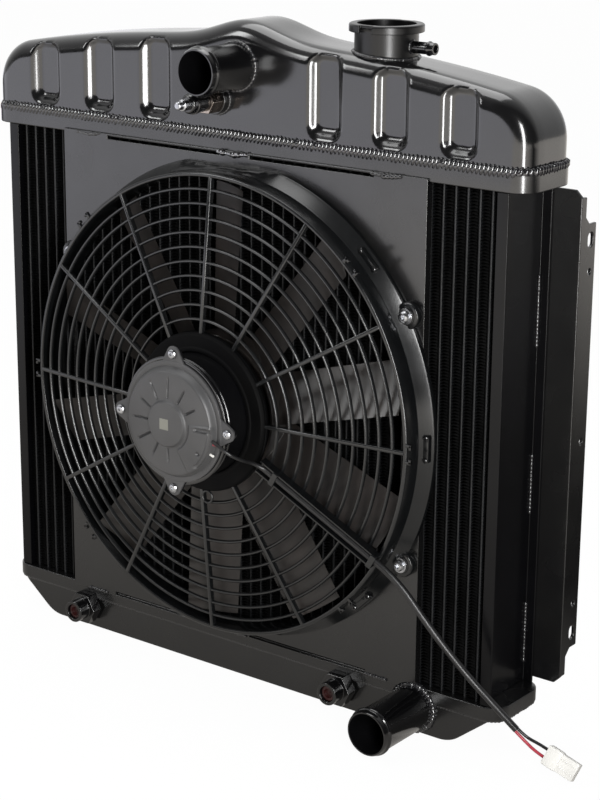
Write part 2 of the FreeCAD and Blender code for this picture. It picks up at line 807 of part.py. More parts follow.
def build_necks():
    hose_neck("upper_hose_neck", "upper_neck_length", "0", "upper_neck_height")
    lower = "lower_neck_length"
    hose_neck("lower_hose_neck", lower, "lower_neck_across", "lower_neck_rise")

    wall_inner = "filler_tube / 2 - filler_wall"
    lip_low = "filler_height - lip_thickness"
    outline = [
        (wall_inner, "0"), ("filler_tube / 2", "0"), ("filler_tube / 2", lip_low + " - 3"),
        ("filler_tube / 2 + 1.5", lip_low), ("filler_lip / 2 - filler_wall", lip_low),
        ("filler_lip / 2 - filler_wall", lip_low + " - 4"), ("filler_lip / 2", lip_low + " - 4"),
        ("filler_lip / 2", "filler_height - 1"), ("filler_lip / 2 - 1", "filler_height"),
        (wall_inner, "filler_height"),
    ]
    seat = ("filler_across", "header_depth / 2", "filler_foot")
    blank = turned("filler_neck_blank", outline, seat, UPRIGHT)
    notches = []
    for side in (-1, 1):
        corner = ("filler_across - cam_notch / 2",
                  "header_depth / 2 + %d * (filler_lip / 2 - filler_wall / 2) - filler_wall" % side,
                  "filler_top - lip_thickness - 5")
        notches.append(box("cam_notch", corner, ("cam_notch", "2 * filler_wall", "lip_thickness + 6")))
    nipple_height = "filler_top - nipple_drop"
    nipple_foot = "filler_across + filler_tube / 2 - filler_wall / 2"
    bore = cylinder("nipple_hole", "nipple_tube / 2 + braze_gap", "filler_wall * 3",
                    ("filler_across + filler_tube / 2 - filler_wall - 1", "header_depth / 2",
                     nipple_height), TO_RIGHT)
    node("filler_neck", cut("filler_neck", blank, bore, *notches))

    tube = "nipple_tube / 2"
    nipple = [
        ("nipple_bore / 2", "0"), (tube, "0"), (tube, "nipple_length - 7"),
        ("nipple_bead / 2", "nipple_length - 6"), ("nipple_bead / 2", "nipple_length - 5"),
        (tube, "nipple_length - 3"), (tube, "nipple_length"),
        ("nipple_bore / 2", "nipple_length"),
    ]
    node("overflow_nipple", turned("overflow_nipple", nipple,
                                   (nipple_foot, "header_depth / 2", nipple_height), TO_RIGHT))


def build_sender():
    """Bung, hex adapter, sender body and terminal stud, one behind the other on one axis."""
    height = "core_top + sender_rise"
    place = ("sender_across", "tank_front", height)
    bung = ring_outline("sender_thread + braze_gap", "bung_radius", "0", "bung_length")
    node("sender_bung", turned("sender_bung", bung, place))
    seat = "tank_front - bung_length"
    hexed = hexagon("adapter_hex", "adapter_flats", "adapter_length", ("sender_across", seat, height))
    shank = cylinder("adapter_shank", "sender_thread", "bung_length",
                     ("sender_across", seat, height))
    node("sender_adapter", fuse("sender_adapter", hexed, shank))
    seat += " - adapter_length"
    body = [("0", "0"), ("sender_radius", "0"), ("sender_radius", "sender_length - 2"),
            ("sender_radius - 1.5", "sender_length"), ("0", "sender_length")]
    node("sender_body", turned("sender_body", body, ("sender_across", seat, height)))
    seat += " - sender_length"
    stud = [("0", "0"), ("stud_radius", "0"), ("stud_radius", "0.55 * stud_length"),
            ("0.7 * stud_radius", "0.6 * stud_length"), ("0.7 * stud_radius", "stud_length - 1"),
            ("0.5 * stud_radius", "stud_length"), ("0", "stud_length")]
    node("sender_terminal", turned("sender_terminal", stud, ("sender_across", seat, height)))


def build_cooler():
    """The oil-cooler tube inside the lower tank, its two ports and their transport plugs."""
    ports = []
    plugs = []
    left = "port_middle - port_spacing / 2"
    for side in ("-", "+"):
        x = "port_middle %s port_spacing / 2" % side
        nut = hexagon("port_nut", "port_nut_flats", "port_nut_length", (x, "0", "port_rise"))
        tube = cylinder("port_tube", "port_tube / 2", "port_tube_length",
                        (x, "-port_nut_length", "port_rise"), TO_FRONT)
        stub = cylinder("port_stub", "port_bore / 2 + sheet_wall", "header_depth / 2",
                        (x, "0", "port_rise"))
        bore = cylinder("port_bore", "port_bore / 2", "header_depth / 2 + 60",
                        (x, "tank_front - 60", "port_rise"))
        drum = cylinder("port_saddle", "cooler_tube / 2 + braze_gap", "60",
                        (x + " - 30", "header_depth / 2", "port_rise"), TO_RIGHT)
        ports.append(cut("port", fuse("port_blank", nut, tube, stub), bore, drum))
        plug = [("0", "0"), ("port_bore / 2 - braze_gap", "0"),
                ("port_bore / 2 - braze_gap", "9"), ("0", "9")]
        plugs.append(turned("plug", plug, (x, "-port_nut_length - port_tube_length"
                                           " + plug_recess + 9", "port_rise")))
    for name, pieces in (("cooler_ports", ports), ("port_plugs", plugs)):
        group = doc.addObject("Part::Compound", name)
        group.Links = pieces
        node(name, group)
    length = "port_spacing + 2 * cooler_overhang"
    start = left + " - cooler_overhang"
    outer = cylinder("cooler_outer", "cooler_tube / 2", length,
                     (start, "header_depth / 2", "port_rise"), TO_RIGHT)
    inner = cylinder("cooler_inner", "cooler_tube / 2 - cooler_wall", length + " - 2 * cooler_wall",
                     (start + " + cooler_wall", "header_depth / 2", "port_rise"), TO_RIGHT)
    mouths = []
    for side in ("-", "+"):
        x = "port_middle %s port_spacing / 2" % side
        mouths.append(cylinder("cooler_mouth", "port_bore / 2", "cooler_tube / 2 + 2",
                               (x, "header_depth / 2", "port_rise"), TO_FRONT))
    node("oil_cooler", cut("oil_cooler", outer, inner, *mouths))


# ---------------------------------------------------------------- shroud panel

def build_panel():
    """The sheet that carries the fan: side lips bent back, long slots along both edges."""
    half = "panel_length / 2"
    low = "core_bottom - panel_lap"
    high = "core_top + panel_lap"
    sheet_face = box("panel_sheet", ("-" + half, "panel_front", low),
                     ("panel_length", "sheet_wall", "core_height + 2 * panel_lap"))
    tools = [cylinder("panel_opening", "panel_opening / 2", "4 * sheet_wall",
                      ("0", "panel_front - sheet_wall", "fan_height"))]
    for edge in ("core_bottom", "core_top"):
        for start in ("panel_slot_start", "-panel_slot_start - panel_slot_length"):
            corner = (start, "panel_front - 1", edge + " - panel_slot_height / 2")
            tools.append(box("panel_slot", corner, ("panel_slot_length", "sheet_wall + 2",
                                                    "panel_slot_height")))
    for place in ear_places():
        tools.append(cylinder("rivet_nut_hole", "rivet_nut_radius", "4 * sheet_wall",
                              (place[0], "panel_front - sheet_wall", place[1])))
    tools.append(neck_clearance("panel_neck_notch"))
    lips = []
    for x in ("-" + half, half + " - sheet_wall"):
        lips.append(box("panel_lip", (x, "0", "core_bottom + 1"),
                        ("sheet_wall", "core_front - 0.5", "core_height - 2")))
    node("shroud_panel", cut("shroud_panel", fuse("panel_blank", sheet_face, *lips), *tools))


def ear_places():
    """Positions of the four fan ears, as formulas for X and Z."""
    return [("%s ear_across" % across, "fan_height %s ear_up" % up)
            for across in ("-", "+") for up in ("-", "+")]


# ---------------------------------------------------------------- fan frame and grille

def build_fan_frame():
    """The moulded ring: a flat-sided flange against the panel, a drum wall and four ears."""
    disc = cylinder("frame_disc", "frame_radius", "frame_plate", ("0", "plate_front", "fan_height"))
    trim = box("frame_trim", ("-frame_radius", "plate_front", "fan_height - frame_flat"),
               ("2 * frame_radius", "frame_plate", "2 * frame_flat"))
    plate = doc.addObject("Part::MultiCommon", "frame_plate_common")
    plate.Shapes = [disc, trim]
    drum = cylinder("frame_drum", "drum_radius", "drum_length", ("0", "drum_front", "fan_height"))
    ears = []
    holes = [cylinder("frame_bore", "drum_radius - drum_wall", "drum_length + 20",
                      ("0", "drum_front - 10", "fan_height"))]
    for x, z in ear_places():
        ears.append(cylinder("frame_ear", "ear_radius", "ear_thickness",
                             (x, "panel_front - ear_thickness", z)))
        holes.append(cylinder("ear_hole", "screw_bore / 2", "ear_thickness + 20",
                              (x, "panel_front - ear_thickness - 10", z)))
    blank = fuse("frame_blank", plate, drum, *ears)
    node("fan_frame", cut("fan_frame", blank, *holes))


def ring_radius(index):
    return value("drum_radius - drum_wall / 2") - index * value("ring_pitch")


def ring_front(index):
    return value("drum_front") - index * value("ring_step")


def build_grille():
    """Rings and spokes that step forward from the drum to the motor boss."""
    height = value("fan_height")
    count = int(value("ring_count"))
    width = value("ring_width")
    depth = value("ring_depth")
    centre = at(0, 0, height)
    pieces = []
    for index in range(1, count + 1):
        foot = at(0, ring_front(index), height)
        outer = Part.makeCylinder(ring_radius(index) + width / 2, depth, foot, Y_AXIS)
        inner = Part.makeCylinder(ring_radius(index) - width / 2, depth, foot, Y_AXIS)
        pieces.append(outer.cut(inner))
    boss_radius = value("boss_radius") + width / 2
    plate = value("boss_plate")
    front = value("boss_front")
    bore = value("boss_bore / 2")
    boss = Part.makeCylinder(boss_radius, plate + depth, at(0, front, height), Y_AXIS)
    boss = boss.cut(Part.makeCylinder(bore, 3 * plate, at(0, front - plate, height), Y_AXIS))
    pieces.append(boss)
    start = value("boss_radius")
    end = value("drum_radius - drum_wall") + 0.5
    slope = value("ring_step / ring_pitch")
    outer_front = value("drum_front") + (value("drum_radius - drum_wall / 2") - end) * slope * -1
    inner_front = outer_front - (end - start) * slope
    half = value("spoke_width / 2")
    deep = value("spoke_depth")
    side_view = polygon_face([
        at(start, inner_front, height - half), at(end, outer_front, height - half),
        at(end, outer_front + deep, height - half), at(start, inner_front + deep, height - half),
    ])
    spoke = side_view.extrude(at(0, 0, 2 * half))
    spokes = int(value("spoke_count"))
    pieces += [spun(spoke, index * 360.0 / spokes, centre) for index in range(spokes)]
    grille = pieces[0].multiFuse(pieces[1:])
    drum = Part.makeCylinder(value("drum_radius"), value("drum_length"),
                             at(0, value("drum_front"), height), Y_AXIS)
    bore = Part.makeCylinder(value("drum_radius - drum_wall"), value("drum_length"),
                             at(0, value("drum_front"), height), Y_AXIS)
    node("fan_grille", shaped("fan_grille", grille.cut(drum.cut(bore))))


def guide_frame():
    """Placement of the wire guide: X runs out along the spoke below the right side, Z to the front."""
    angle = math.radians(-30)
    slope = math.atan(value("ring_step / ring_pitch"))
    out = at(math.cos(angle) * math.cos(slope), math.sin(slope), math.sin(angle) * math.cos(slope))
    across = at(-math.sin(angle), 0, math.cos(angle))
    front = out.cross(across)
    start_radius = value("boss_radius") + value("ring_pitch") / 2
    origin = at(0, 0, value("fan_height")) + at(math.cos(angle), 0, math.sin(angle)) * start_radius
    origin += across * value("guide_offset")
    origin.y = value("drum_front") - (value("drum_radius - drum_wall / 2") - start_radius) * (
        value("ring_step / ring_pitch"))
    matrix = FreeCAD.Matrix(out.x, across.x, front.x, origin.x, out.y, across.y, front.y, origin.y,
                            out.z, across.z, front.z, origin.z, 0, 0, 0, 1)
    return FreeCAD.Placement(matrix)


def build_guide():
    """A channel on the grille that holds the lead, closed by a clip bar at each end."""
    place = guide_frame()
    length = value("drum_radius - boss_radius - ring_pitch / 2")
    width = value("guide_width")
    wall = value("guide_wall")
    height = value("guide_height")
    seat = value("braze_gap")
    outer = Part.makeBox(length, width, height, at(0, -width / 2, seat))
    inner = Part.makeBox(length + 2, width - 2 * wall, height, at(-1, wall - width / 2, seat + wall))
    node("wire_guide", shaped("wire_guide", outer.cut(inner), place))
    clip = value("guide_clip_width")
    clips = []
    for x in (value("guide_clip_start"), length - clip):
        bar = Part.makeBox(clip, width, wall, at(x, -width / 2, seat + height + seat))
        clips.append(bar)
    node("guide_clips", shaped("guide_clips", Part.makeCompound(clips), place))


def build_fan_screws():
    """Four screws with washers through the ears into rivet nuts behind the panel."""
    face = value("panel_front - ear_thickness")
    washer = value("washer_thickness")
    shank = value("screw_shank / 2")
    head = value("screw_head / 2")
    rise = value("screw_head_height")
    nut_length = value("rivet_nut_length")
    length = value("ear_thickness + sheet_wall") + washer
    screws, washers, nuts = [], [], []
    for x_text, z_text in ear_places():
        x = value(x_text)
        z = value(z_text)
        seat = at(x, face - washer, z)
        screw = Part.makeCylinder(head, rise, seat, at(0, -1, 0))
        screw = screw.fuse(Part.makeCylinder(shank, length + nut_length / 2, seat, Y_AXIS))
        socket = Part.makeCylinder(value("screw_socket / 2"), rise, at(x, seat.y - 1, z), at(0, -1, 0))
        screws.append(screw.cut(socket))
        ring = Part.makeCylinder(value("washer_radius"), washer, seat, Y_AXIS)
        washers.append(ring.cut(Part.makeCylinder(value("screw_bore / 2"), washer, seat, Y_AXIS)))
        back = at(x, value("panel_front") + 0.1, z)
        nut = Part.makeCylinder(value("rivet_nut_radius") - 0.05, nut_length, back, Y_AXIS)
        flange = Part.makeCylinder(value("rivet_nut_radius") + 1.5, 1.0, at(x, 0, z), Y_AXIS)
        bore = Part.makeCylinder(shank + 0.02, nut_length + 2, back - at(0, 1, 0), Y_AXIS)
        nuts.append(nut.fuse(flange).cut(bore))
    for name, pieces in (("fan_screws", screws), ("fan_washers", washers), ("rivet_nuts", nuts)):
        node(name, shaped(name, Part.makeCompound(pieces)))


# ---------------------------------------------------------------- motor

def on_fan_axis(y):
    return ("0", y, "fan_height")


def motor_ear_places():
    return [("motor_ear_circle * %d" % across, "fan_height + motor_ear_circle * %d" % up)
            for across, up in ((1, 0), (0, 1), (-1, 0), (0, -1))]


def build_motor_case():
    """The can, pressed into the grille's boss, and its end cap held by four screws."""
    front = "can_length"
    nose = "bearing_radius + can_wall"
    can = [
        ("shaft_radius + 2", "0"), (nose, "0"), (nose, "bearing_width - can_wall"),
        ("can_radius - 6", "bearing_width - can_wall"), ("can_radius", "bearing_width + 4"),
        ("can_radius", front), ("can_radius - can_wall", front),
        ("can_radius - can_wall", "bearing_width + 4"),
        ("can_radius - 6 - can_wall / 2", "bearing_width"),
        ("bearing_radius + braze_gap", "bearing_width"), ("bearing_radius + braze_gap", "can_wall"),
        ("shaft_radius + 2", "can_wall"),
    ]
    tube = turned("can_tube", can, on_fan_axis("can_back"))
    disc = cylinder("can_flange", "can_radius + 2", "flange_thickness", on_fan_axis("-can_front"))
    cap_disc = cylinder("cap_flange", "can_radius + 2", "flange_thickness",
                        on_fan_axis("-can_front - flange_thickness"))
    ears, cap_ears, holes, cap_holes = [], [], [], []
    for x, z in motor_ear_places():
        ears.append(cylinder("can_ear", "motor_ear_radius", "flange_thickness",
                             (x, "-can_front", z)))
        cap_ears.append(cylinder("cap_ear", "motor_ear_radius", "flange_thickness",
                                 (x, "-can_front - flange_thickness", z)))
        holes.append(cylinder("can_screw_hole", "motor_screw_shank / 2 + braze_gap", "30",
                              (x, "-can_front - 15", z)))
        cap_holes.append(cylinder("cap_screw_hole", "motor_screw_shank / 2 + braze_gap", "30",
                                  (x, "-can_front - 15", z)))
    bore = cylinder("can_flange_bore", "can_radius - can_wall", "30", on_fan_axis("-can_front - 15"))
    flange = cut("can_flange_ring", fuse("can_flange_blank", disc, *ears), bore, *holes)
    node("motor_can", fuse("motor_can", tube, flange))

    low = "flange_thickness"
    cap = [
        ("0", "cap_rise + cap_disc_rise"), ("cap_disc", "cap_rise + cap_disc_rise"),
        ("cap_disc", "cap_rise"), ("cap_rim - 6", "cap_rise - 0.5"),
        ("cap_rim", "cap_rise - 4"), ("cap_rim", low), ("can_radius + 1", low),
        ("can_radius + 1", "0.05"), ("cap_rim - cap_wall", "0.05"),
        ("cap_rim - cap_wall", "cap_rise - cap_wall - 4"),
        ("cap_rim - cap_wall - 6", "cap_rise - cap_wall"),
        ("bearing_radius + cap_wall", "cap_rise - cap_wall"),
        ("bearing_radius + cap_wall", "cap_rise + cap_disc_rise - cap_wall - bearing_width"),
        ("bearing_radius + braze_gap", "cap_rise + cap_disc_rise - cap_wall - bearing_width"),
        ("bearing_radius + braze_gap", "cap_rise + cap_disc_rise - cap_wall"),
        ("0", "cap_rise + cap_disc_rise - cap_wall"),
    ]
    dome = turned("cap_dome", cap, on_fan_axis("-can_front"))
    cap_bore = cylinder("cap_flange_bore", "cap_rim - cap_wall / 2", "30",
                        on_fan_axis("-can_front - 15"))
    rim = cut("cap_flange_ring", fuse("cap_flange_blank", cap_disc, *cap_ears), cap_bore, *cap_holes)
    first, second = at(*LEAD_ROUTE[0]), at(*LEAD_ROUTE[1])
    run = (second - first).normalize()
    lead_hole = shaped("lead_hole", Part.makeCylinder(value("sleeve_radius") + 0.1, 16,
                                                      first - run * 8, run))
    node("motor_end_cap", cut("motor_end_cap", fuse("cap_blank", dome, rim), lead_hole))

    screws = []
    for x, z in motor_ear_places():
        screw = [("0", "-flange_thickness - 6"), ("motor_screw_shank / 2", "-flange_thickness - 6"),
                 ("motor_screw_shank / 2", "flange_thickness"), ("motor_screw_head", "flange_thickness"),
                 ("motor_screw_head", "flange_thickness + 1.2"),
                 ("motor_screw_head - 1.4", "flange_thickness + 2.2"), ("0", "flange_thickness + 2.2")]
        screws.append(turned("motor_screw", screw, (x, "-can_front", z)))
    group = doc.addObject("Part::Compound", "motor_screws")
    group.Links = screws
    node("motor_screws", group)


def build_motor_inside():
    """Magnets, armature, commutator, brushes, bearings and shaft."""
    height = value("fan_height")
    length = value("magnet_length")
    middle = value("armature_middle")
    start = at(0, middle - length / 2, height)
    outer = value("can_radius - can_wall") - 0.1
    angle = value("magnet_angle")
    magnets = []
    for side in (0, 180):
        arc = Part.makeCylinder(outer, length, start, Y_AXIS, angle)
        arc = arc.cut(Part.makeCylinder(value("magnet_inner"), length, start, Y_AXIS))
        magnets.append(spun(arc, side - angle / 2, at(0, 0, height)))
    node("magnets", shaped("magnets", Part.makeCompound(magnets)))

    radius = value("armature_radius")
    core_length = value("armature_length")
    foot = at(0, middle - core_length / 2, height)
    shaft = value("shaft_radius")
    core = Part.makeCylinder(radius, core_length, foot, Y_AXIS)
    teeth = int(value("armature_teeth"))
    slot_width = value("armature_slot")
    slot_floor = radius * 0.5
    slots, coils = [], []
    for index in range(teeth):
        slot = Part.makeBox(radius - slot_floor - 2, core_length, slot_width,
                            at(slot_floor, foot.y, height - slot_width / 2))
        mouth = Part.makeBox(4, core_length, slot_width / 3,
                             at(radius - 3, foot.y, height - slot_width / 6))
        turn_by = index * 360.0 / teeth
        slots.append(spun(slot, turn_by, at(0, 0, height)))
        slots.append(spun(mouth, turn_by, at(0, 0, height)))
        coil = Part.makeBox(radius - slot_floor - 4, core_length, slot_width - 1,
                            at(slot_floor + 0.5, foot.y, height - slot_width / 2 + 0.5))
        coils.append(spun(coil, turn_by, at(0, 0, height)))
    bore = Part.makeCylinder(shaft, core_length, foot, Y_AXIS)
    node("armature_core", shaped("armature_core", core.cut(slots + [bore])))
    rise = value("winding_rise")
    for end in (foot.y - rise, foot.y + core_length):
        head = Part.makeCylinder(radius - 3.5, rise, at(0, end, height), Y_AXIS)
        coils.append(head.cut(Part.makeCylinder(slot_floor - 4, rise, at(0, end, height), Y_AXIS)))
    windings = coils[0].multiFuse(coils[1:])
    node("armature_windings", shaped("armature_windings", windings))

    comm_radius = value("commutator_radius")
    comm_length = value("commutator_length")
    comm_foot = at(0, foot.y - rise - comm_length - 0.5, height)
    comm = Part.makeCylinder(comm_radius, comm_length, comm_foot, Y_AXIS)
    node("commutator", shaped("commutator", comm.cut(
        Part.makeCylinder(shaft, comm_length, comm_foot, Y_AXIS))))

    brush_width = value("brush_width")
    brush_length = value("brush_length")
    gap = value("brush_gap")
    plate = value("holder_thickness")
    brush_y = comm_foot.y + comm_length / 2 - brush_width / 2
    rack_foot = at(0, value("cap_inner + braze_gap"), height)
    rack = Part.makeCylinder(value("cap_rim - cap_wall") - 6, plate, rack_foot, Y_AXIS)
    rack = rack.cut(Part.makeCylinder(comm_radius + 2, plate, rack_foot, Y_AXIS))
    box_y = rack_foot.y + plate
    box_depth = brush_y + brush_width + 0.6 - box_y
    brushes, boxes = [], []
    for side in (0, 180):
        block = Part.makeBox(brush_length, brush_width, brush_width,
                             at(comm_radius + gap, brush_y, height - brush_width / 2))
        brushes.append(spun(block, side, at(0, 0, height)))
        sleeve = Part.makeBox(brush_length - 3, box_depth, brush_width + 2.2,
                              at(comm_radius + 3, box_y, height - brush_width / 2 - 1.1))
        sleeve = sleeve.cut(Part.makeBox(brush_length, brush_width + 0.2, brush_width + 0.2,
                                         at(comm_radius + 2, brush_y - 0.1,
                                            height - brush_width / 2 - 0.1)))
        boxes.append(spun(sleeve, side, at(0, 0, height)))
    node("brushes", shaped("brushes", Part.makeCompound(brushes)))
    node("brush_holder", shaped("brush_holder", rack.multiFuse(boxes)))

    bearing = ring_outline("shaft_radius + running_gap", "bearing_radius", "0", "bearing_width")
    bearing_places = (("bearing_rear", "can_back - can_wall"),
                      ("bearing_front", "-can_front - cap_rise - cap_disc_rise + cap_wall"
                                        " + bearing_width"))
    for name, y in bearing_places:
        node(name, turned(name, bearing, on_fan_axis(y)))
    shaft_foot = "-can_front - cap_rise - cap_disc_rise + cap_wall + 1"
    node("motor_shaft", cylinder("motor_shaft", "shaft_radius",
                                 "hub_rear + nut_thickness - (%s)" % shaft_foot,
                                 on_fan_axis(shaft_foot)))


# ---------------------------------------------------------------- impeller

def blade_section(radius, pitch, chord, thickness, centre_y, height):
    """A lens-shaped cross-section of a blade, square to the radius."""
    tilt = math.radians(pitch)
    along = at(0, math.sin(tilt), math.cos(tilt))
    across = at(0, math.cos(tilt), -math.sin(tilt))
    middle = at(radius, centre_y, height)
    nose = middle - along * (chord / 2)
    tail = middle + along * (chord / 2)
    over = middle + across * (thickness / 2 + chord * 0.04)
    under = middle + across * (chord * 0.04 - thickness / 2)
    return Part.Wire([
        Part.Arc(nose, over, tail).toShape(),
        Part.Arc(tail, under, nose).toShape(),
    ])


def build_impeller():
    """A cup-shaped hub with twisted blades, on the motor shaft and held by a nut."""
    height = value("fan_height")
    rear = value("hub_rear")
    depth = value("hub_depth")
    radius = value("hub_radius")
    wall = value("hub_wall")
    centre = at(0, 0, height)
    cup = Part.makeCylinder(radius, depth, at(0, rear - depth, height), Y_AXIS)
    cup = cup.cut(Part.makeCylinder(radius - wall, depth - wall, at(0, rear - depth, height), Y_AXIS))
    boss = Part.makeCylinder(value("shaft_radius") + 5, wall + 6, at(0, rear - wall - 6, height), Y_AXIS)
    chord = value("blade_chord")
    thickness = value("blade_thickness")
    middle = rear - depth / 2
    sections = []
    for reach, pitch in ((radius - wall / 2, "blade_root_pitch"),
                         (value("impeller_radius") + 3, "blade_tip_pitch")):
        sections.append(blade_section(reach, value(pitch), chord, thickness, middle, height))
    blade = Part.makeLoft(sections, True, True)
    tip = Part.makeCylinder(value("impeller_radius"), 200, at(0, middle - 100, height), Y_AXIS)
    blade = blade.common(tip)
    hollow = Part.makeCylinder(radius - wall, 200, at(0, rear - wall - 200, height), Y_AXIS)
    blade = blade.cut(hollow)
    count = int(value("blade_count"))
    blades = [spun(blade, -87.0 + index * 360.0 / count, centre) for index in range(count)]
    wheel = cup.multiFuse([boss] + blades)
    bore = Part.makeCylinder(value("shaft_radius"), 200, at(0, middle - 100, height), Y_AXIS)
    node("impeller", shaped("impeller", wheel.cut(bore)))
    nut = hexagon("nut_hex", "nut_flats", "nut_thickness", on_fan_axis("hub_rear"), TO_BACK)
    nut_bore = cylinder("nut_bore", "shaft_radius", "20", on_fan_axis("hub_rear - 5"))
    node("impeller_nut", cut("impeller_nut", nut, nut_bore))


# ---------------------------------------------------------------- pigtail

# The cords' routes, point by point: the lead from the end cap down into the guide and along it,
# the free sleeve past the core's lower right corner, and the two wires into the connector.
LEAD_ROUTE = [(43.0, -84.5, 246.5), (59.0, -86.5, 240.0), (65.0, -73.0, 231.0),
              (66.5, -56.5, 224.5), (78.6, -48.9, 214.9), (176.2, -37.5, 158.5)]
SLEEVE_ROUTE = [(176.2, -37.5, 158.5), (195.2, -35.3, 147.6), (223.0, -31.0, 114.0),
                (251.0, -21.5, 79.5), (277.0, -10.5, 50.5), (291.2, -3.0, 33.6)]
RED_ROUTE = [(290.5, -3.8, 32.7), (296.3, -0.7, 25.8), (309.0, -1.3, 18.7), (317.0, -1.0, 16.1)]
BLACK_ROUTE = [(291.9, -2.2, 34.5), (297.7, 0.9, 27.6), (311.0, 1.8, 24.5), (318.85, 2.0, 21.9)]
CONNECTOR_BACK = (318.0, 0.5, 19.0)
CONNECTOR_AXIS = (0.951, 0.016, -0.307)
CONNECTOR_SIDE = (-0.146, 0.904, -0.404)


def route_path(name, points):
    """Straight runs joined by tangent arcs, each as large as its two runs allow."""
    corners = [at(*point) for point in points]
    edges = []
    start = corners[0]
    for before, corner, after in zip(corners, corners[1:], corners[2:]):
        inward = corner - before
        outward = after - corner
        shorter = min(inward.Length, outward.Length)
        turn_angle = inward.getAngle(outward)
        radius = 0.45 * shorter / math.tan(turn_angle / 2)
        print("%s turn %.1f degrees, radius %.0f mm" % (name, math.degrees(turn_angle), radius))
        inward.normalize()
        outward.normalize()
        first = corner - inward * (0.45 * shorter)
        last = corner + outward * (0.45 * shorter)
        bisector = (outward - inward).normalize()
        centre = corner + bisector * (radius / math.cos(turn_angle / 2))
        middle = centre - bisector * radius
        edges.append(Part.LineSegment(start, first).toShape())
        edges.append(Part.Arc(first, middle, last).toShape())
        start = last
    edges.append(Part.LineSegment(start, corners[-1]).toShape())
    return Part.Wire(edges)


def cord(name, points, radius):
    """A round tube along a route, its volume checked against section times length."""
    path = route_path(name, points)
    direction = at(*points[1]) - at(*points[0])
    circle = Part.Wire([Part.Circle(at(*points[0]), direction, radius).toShape()])
    tube = path.makePipeShell([circle], True, False)
    expected = math.pi * radius ** 2 * path.Length
    print("%s length %.1f mm, volume ratio %.4f" % (name, path.Length, tube.Volume / expected))
    return node(name, shaped(name, tube))


def build_pigtail():
    """The lead held in the guide, the free sleeve, two wires and the connector they end in."""
    radius = value("sleeve_radius")
    cord("motor_lead", LEAD_ROUTE, radius)
    cord("cable_sleeve", SLEEVE_ROUTE, radius)
    cord("red_wire", RED_ROUTE, value("wire_radius"))
    cord("black_wire", BLACK_ROUTE, value("wire_radius"))

    along = at(*CONNECTOR_AXIS).normalize()
    up = along.cross(at(*CONNECTOR_SIDE)).normalize()
    side = up.cross(along)
    back = CONNECTOR_BACK
    place = FreeCAD.Placement(FreeCAD.Matrix(
        along.x, side.x, up.x, back[0], along.y, side.y, up.y, back[1],
        along.z, side.z, up.z, back[2], 0, 0, 0, 1))
    length = value("connector_length")
    width = value("connector_width")
    thickness = value("connector_thickness")
    wall = value("connector_wall")
    blade = value("terminal_width")
    reach = value("terminal_length")
    housing = Part.makeBox(length * 0.45, thickness, width, at(0, -thickness / 2, -width / 2))
    skirt = Part.makeBox(length, thickness - wall, width - wall,
                         at(0, (wall - thickness) / 2, (wall - width) / 2))
    latch = Part.makeBox(length * 0.5, wall, width * 0.3, at(length * 0.35, thickness / 2 - wall / 2,
                                                             -width * 0.15))
    housing = housing.multiFuse([skirt, latch])
    terminals = []
    for sign in (-1, 1):
        z = sign * value("wire_spread")
        slot = Part.makeBox(reach + 2, 2.0, blade + 0.6, at(length - reach - 2, -1.0,
                                                            z - blade / 2 - 0.3))
        housing = housing.cut(slot)
        terminals.append(Part.makeBox(reach, 0.8, blade, at(length - reach - 2, -0.4, z - blade / 2)))
    node("connector_housing", shaped("connector_housing", housing, place))
    node("connector_terminals", shaped("connector_terminals", Part.makeCompound(terminals), place))


build_core()
build_headers()
build_sides()
build_upper_tank()
build_lower_tank()
build_necks()
build_sender()
build_cooler()
build_panel()
build_fan_frame()
build_grille()
build_guide()
build_fan_screws()
build_motor_case()
build_motor_inside()
build_impeller()
build_pigtail()
doc.recompute()

faults = [item.Name for item in doc.Objects if "Invalid" in item.State or "Error" in item.State]
for name, item in nodes.items():
    if item.Shape.isNull() or not item.Shape.isValid():
        faults.append(name)
if faults:
    raise RuntimeError("objects that failed: " + ", ".join(faults))

os.makedirs("parts", exist_ok=True)
for name, item in nodes.items():
    item.Shape.exportStep("parts/%s.step" % name)
    print("%s: %d solids, volume %.0f" % (name, len(item.Shape.Solids), item.Shape.Volume))
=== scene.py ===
import math
import random

import bmesh
import bpy
from mathutils import Matrix, Vector


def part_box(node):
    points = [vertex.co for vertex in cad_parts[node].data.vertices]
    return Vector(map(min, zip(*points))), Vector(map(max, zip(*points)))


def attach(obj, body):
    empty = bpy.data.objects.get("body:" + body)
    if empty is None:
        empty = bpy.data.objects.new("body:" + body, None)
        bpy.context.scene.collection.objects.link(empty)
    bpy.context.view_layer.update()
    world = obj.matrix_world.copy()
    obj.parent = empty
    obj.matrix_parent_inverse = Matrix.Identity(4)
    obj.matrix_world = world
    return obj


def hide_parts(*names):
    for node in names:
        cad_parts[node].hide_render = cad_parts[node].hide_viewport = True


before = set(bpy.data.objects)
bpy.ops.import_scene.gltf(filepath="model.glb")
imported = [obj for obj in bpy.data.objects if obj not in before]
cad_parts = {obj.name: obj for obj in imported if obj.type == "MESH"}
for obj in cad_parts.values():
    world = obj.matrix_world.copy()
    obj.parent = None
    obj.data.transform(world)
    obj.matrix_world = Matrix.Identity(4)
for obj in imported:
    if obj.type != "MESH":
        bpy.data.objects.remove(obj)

# Looks of a black aluminium car radiator with its electric fan. Lengths below are in millimetres
# unless a name ends in _m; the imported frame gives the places.

MM = 0.001
BODY = "radiator"
ROTOR = "fan_rotor"
ACROSS = Vector((1, 0, 0))
BACKWARD = Vector((0, 1, 0))
UPWARD = Vector((0, 0, 1))


def mm(x, y, z):
    """A place given in millimetres, as a vector in metres."""
    return Vector((x, y, z)) * MM


def node_box(name):
    """A node's lowest and highest corners in millimetres."""
    low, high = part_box(name)
    return low / MM, high / MM


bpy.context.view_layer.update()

# ---------------------------------------------------------------- driving places

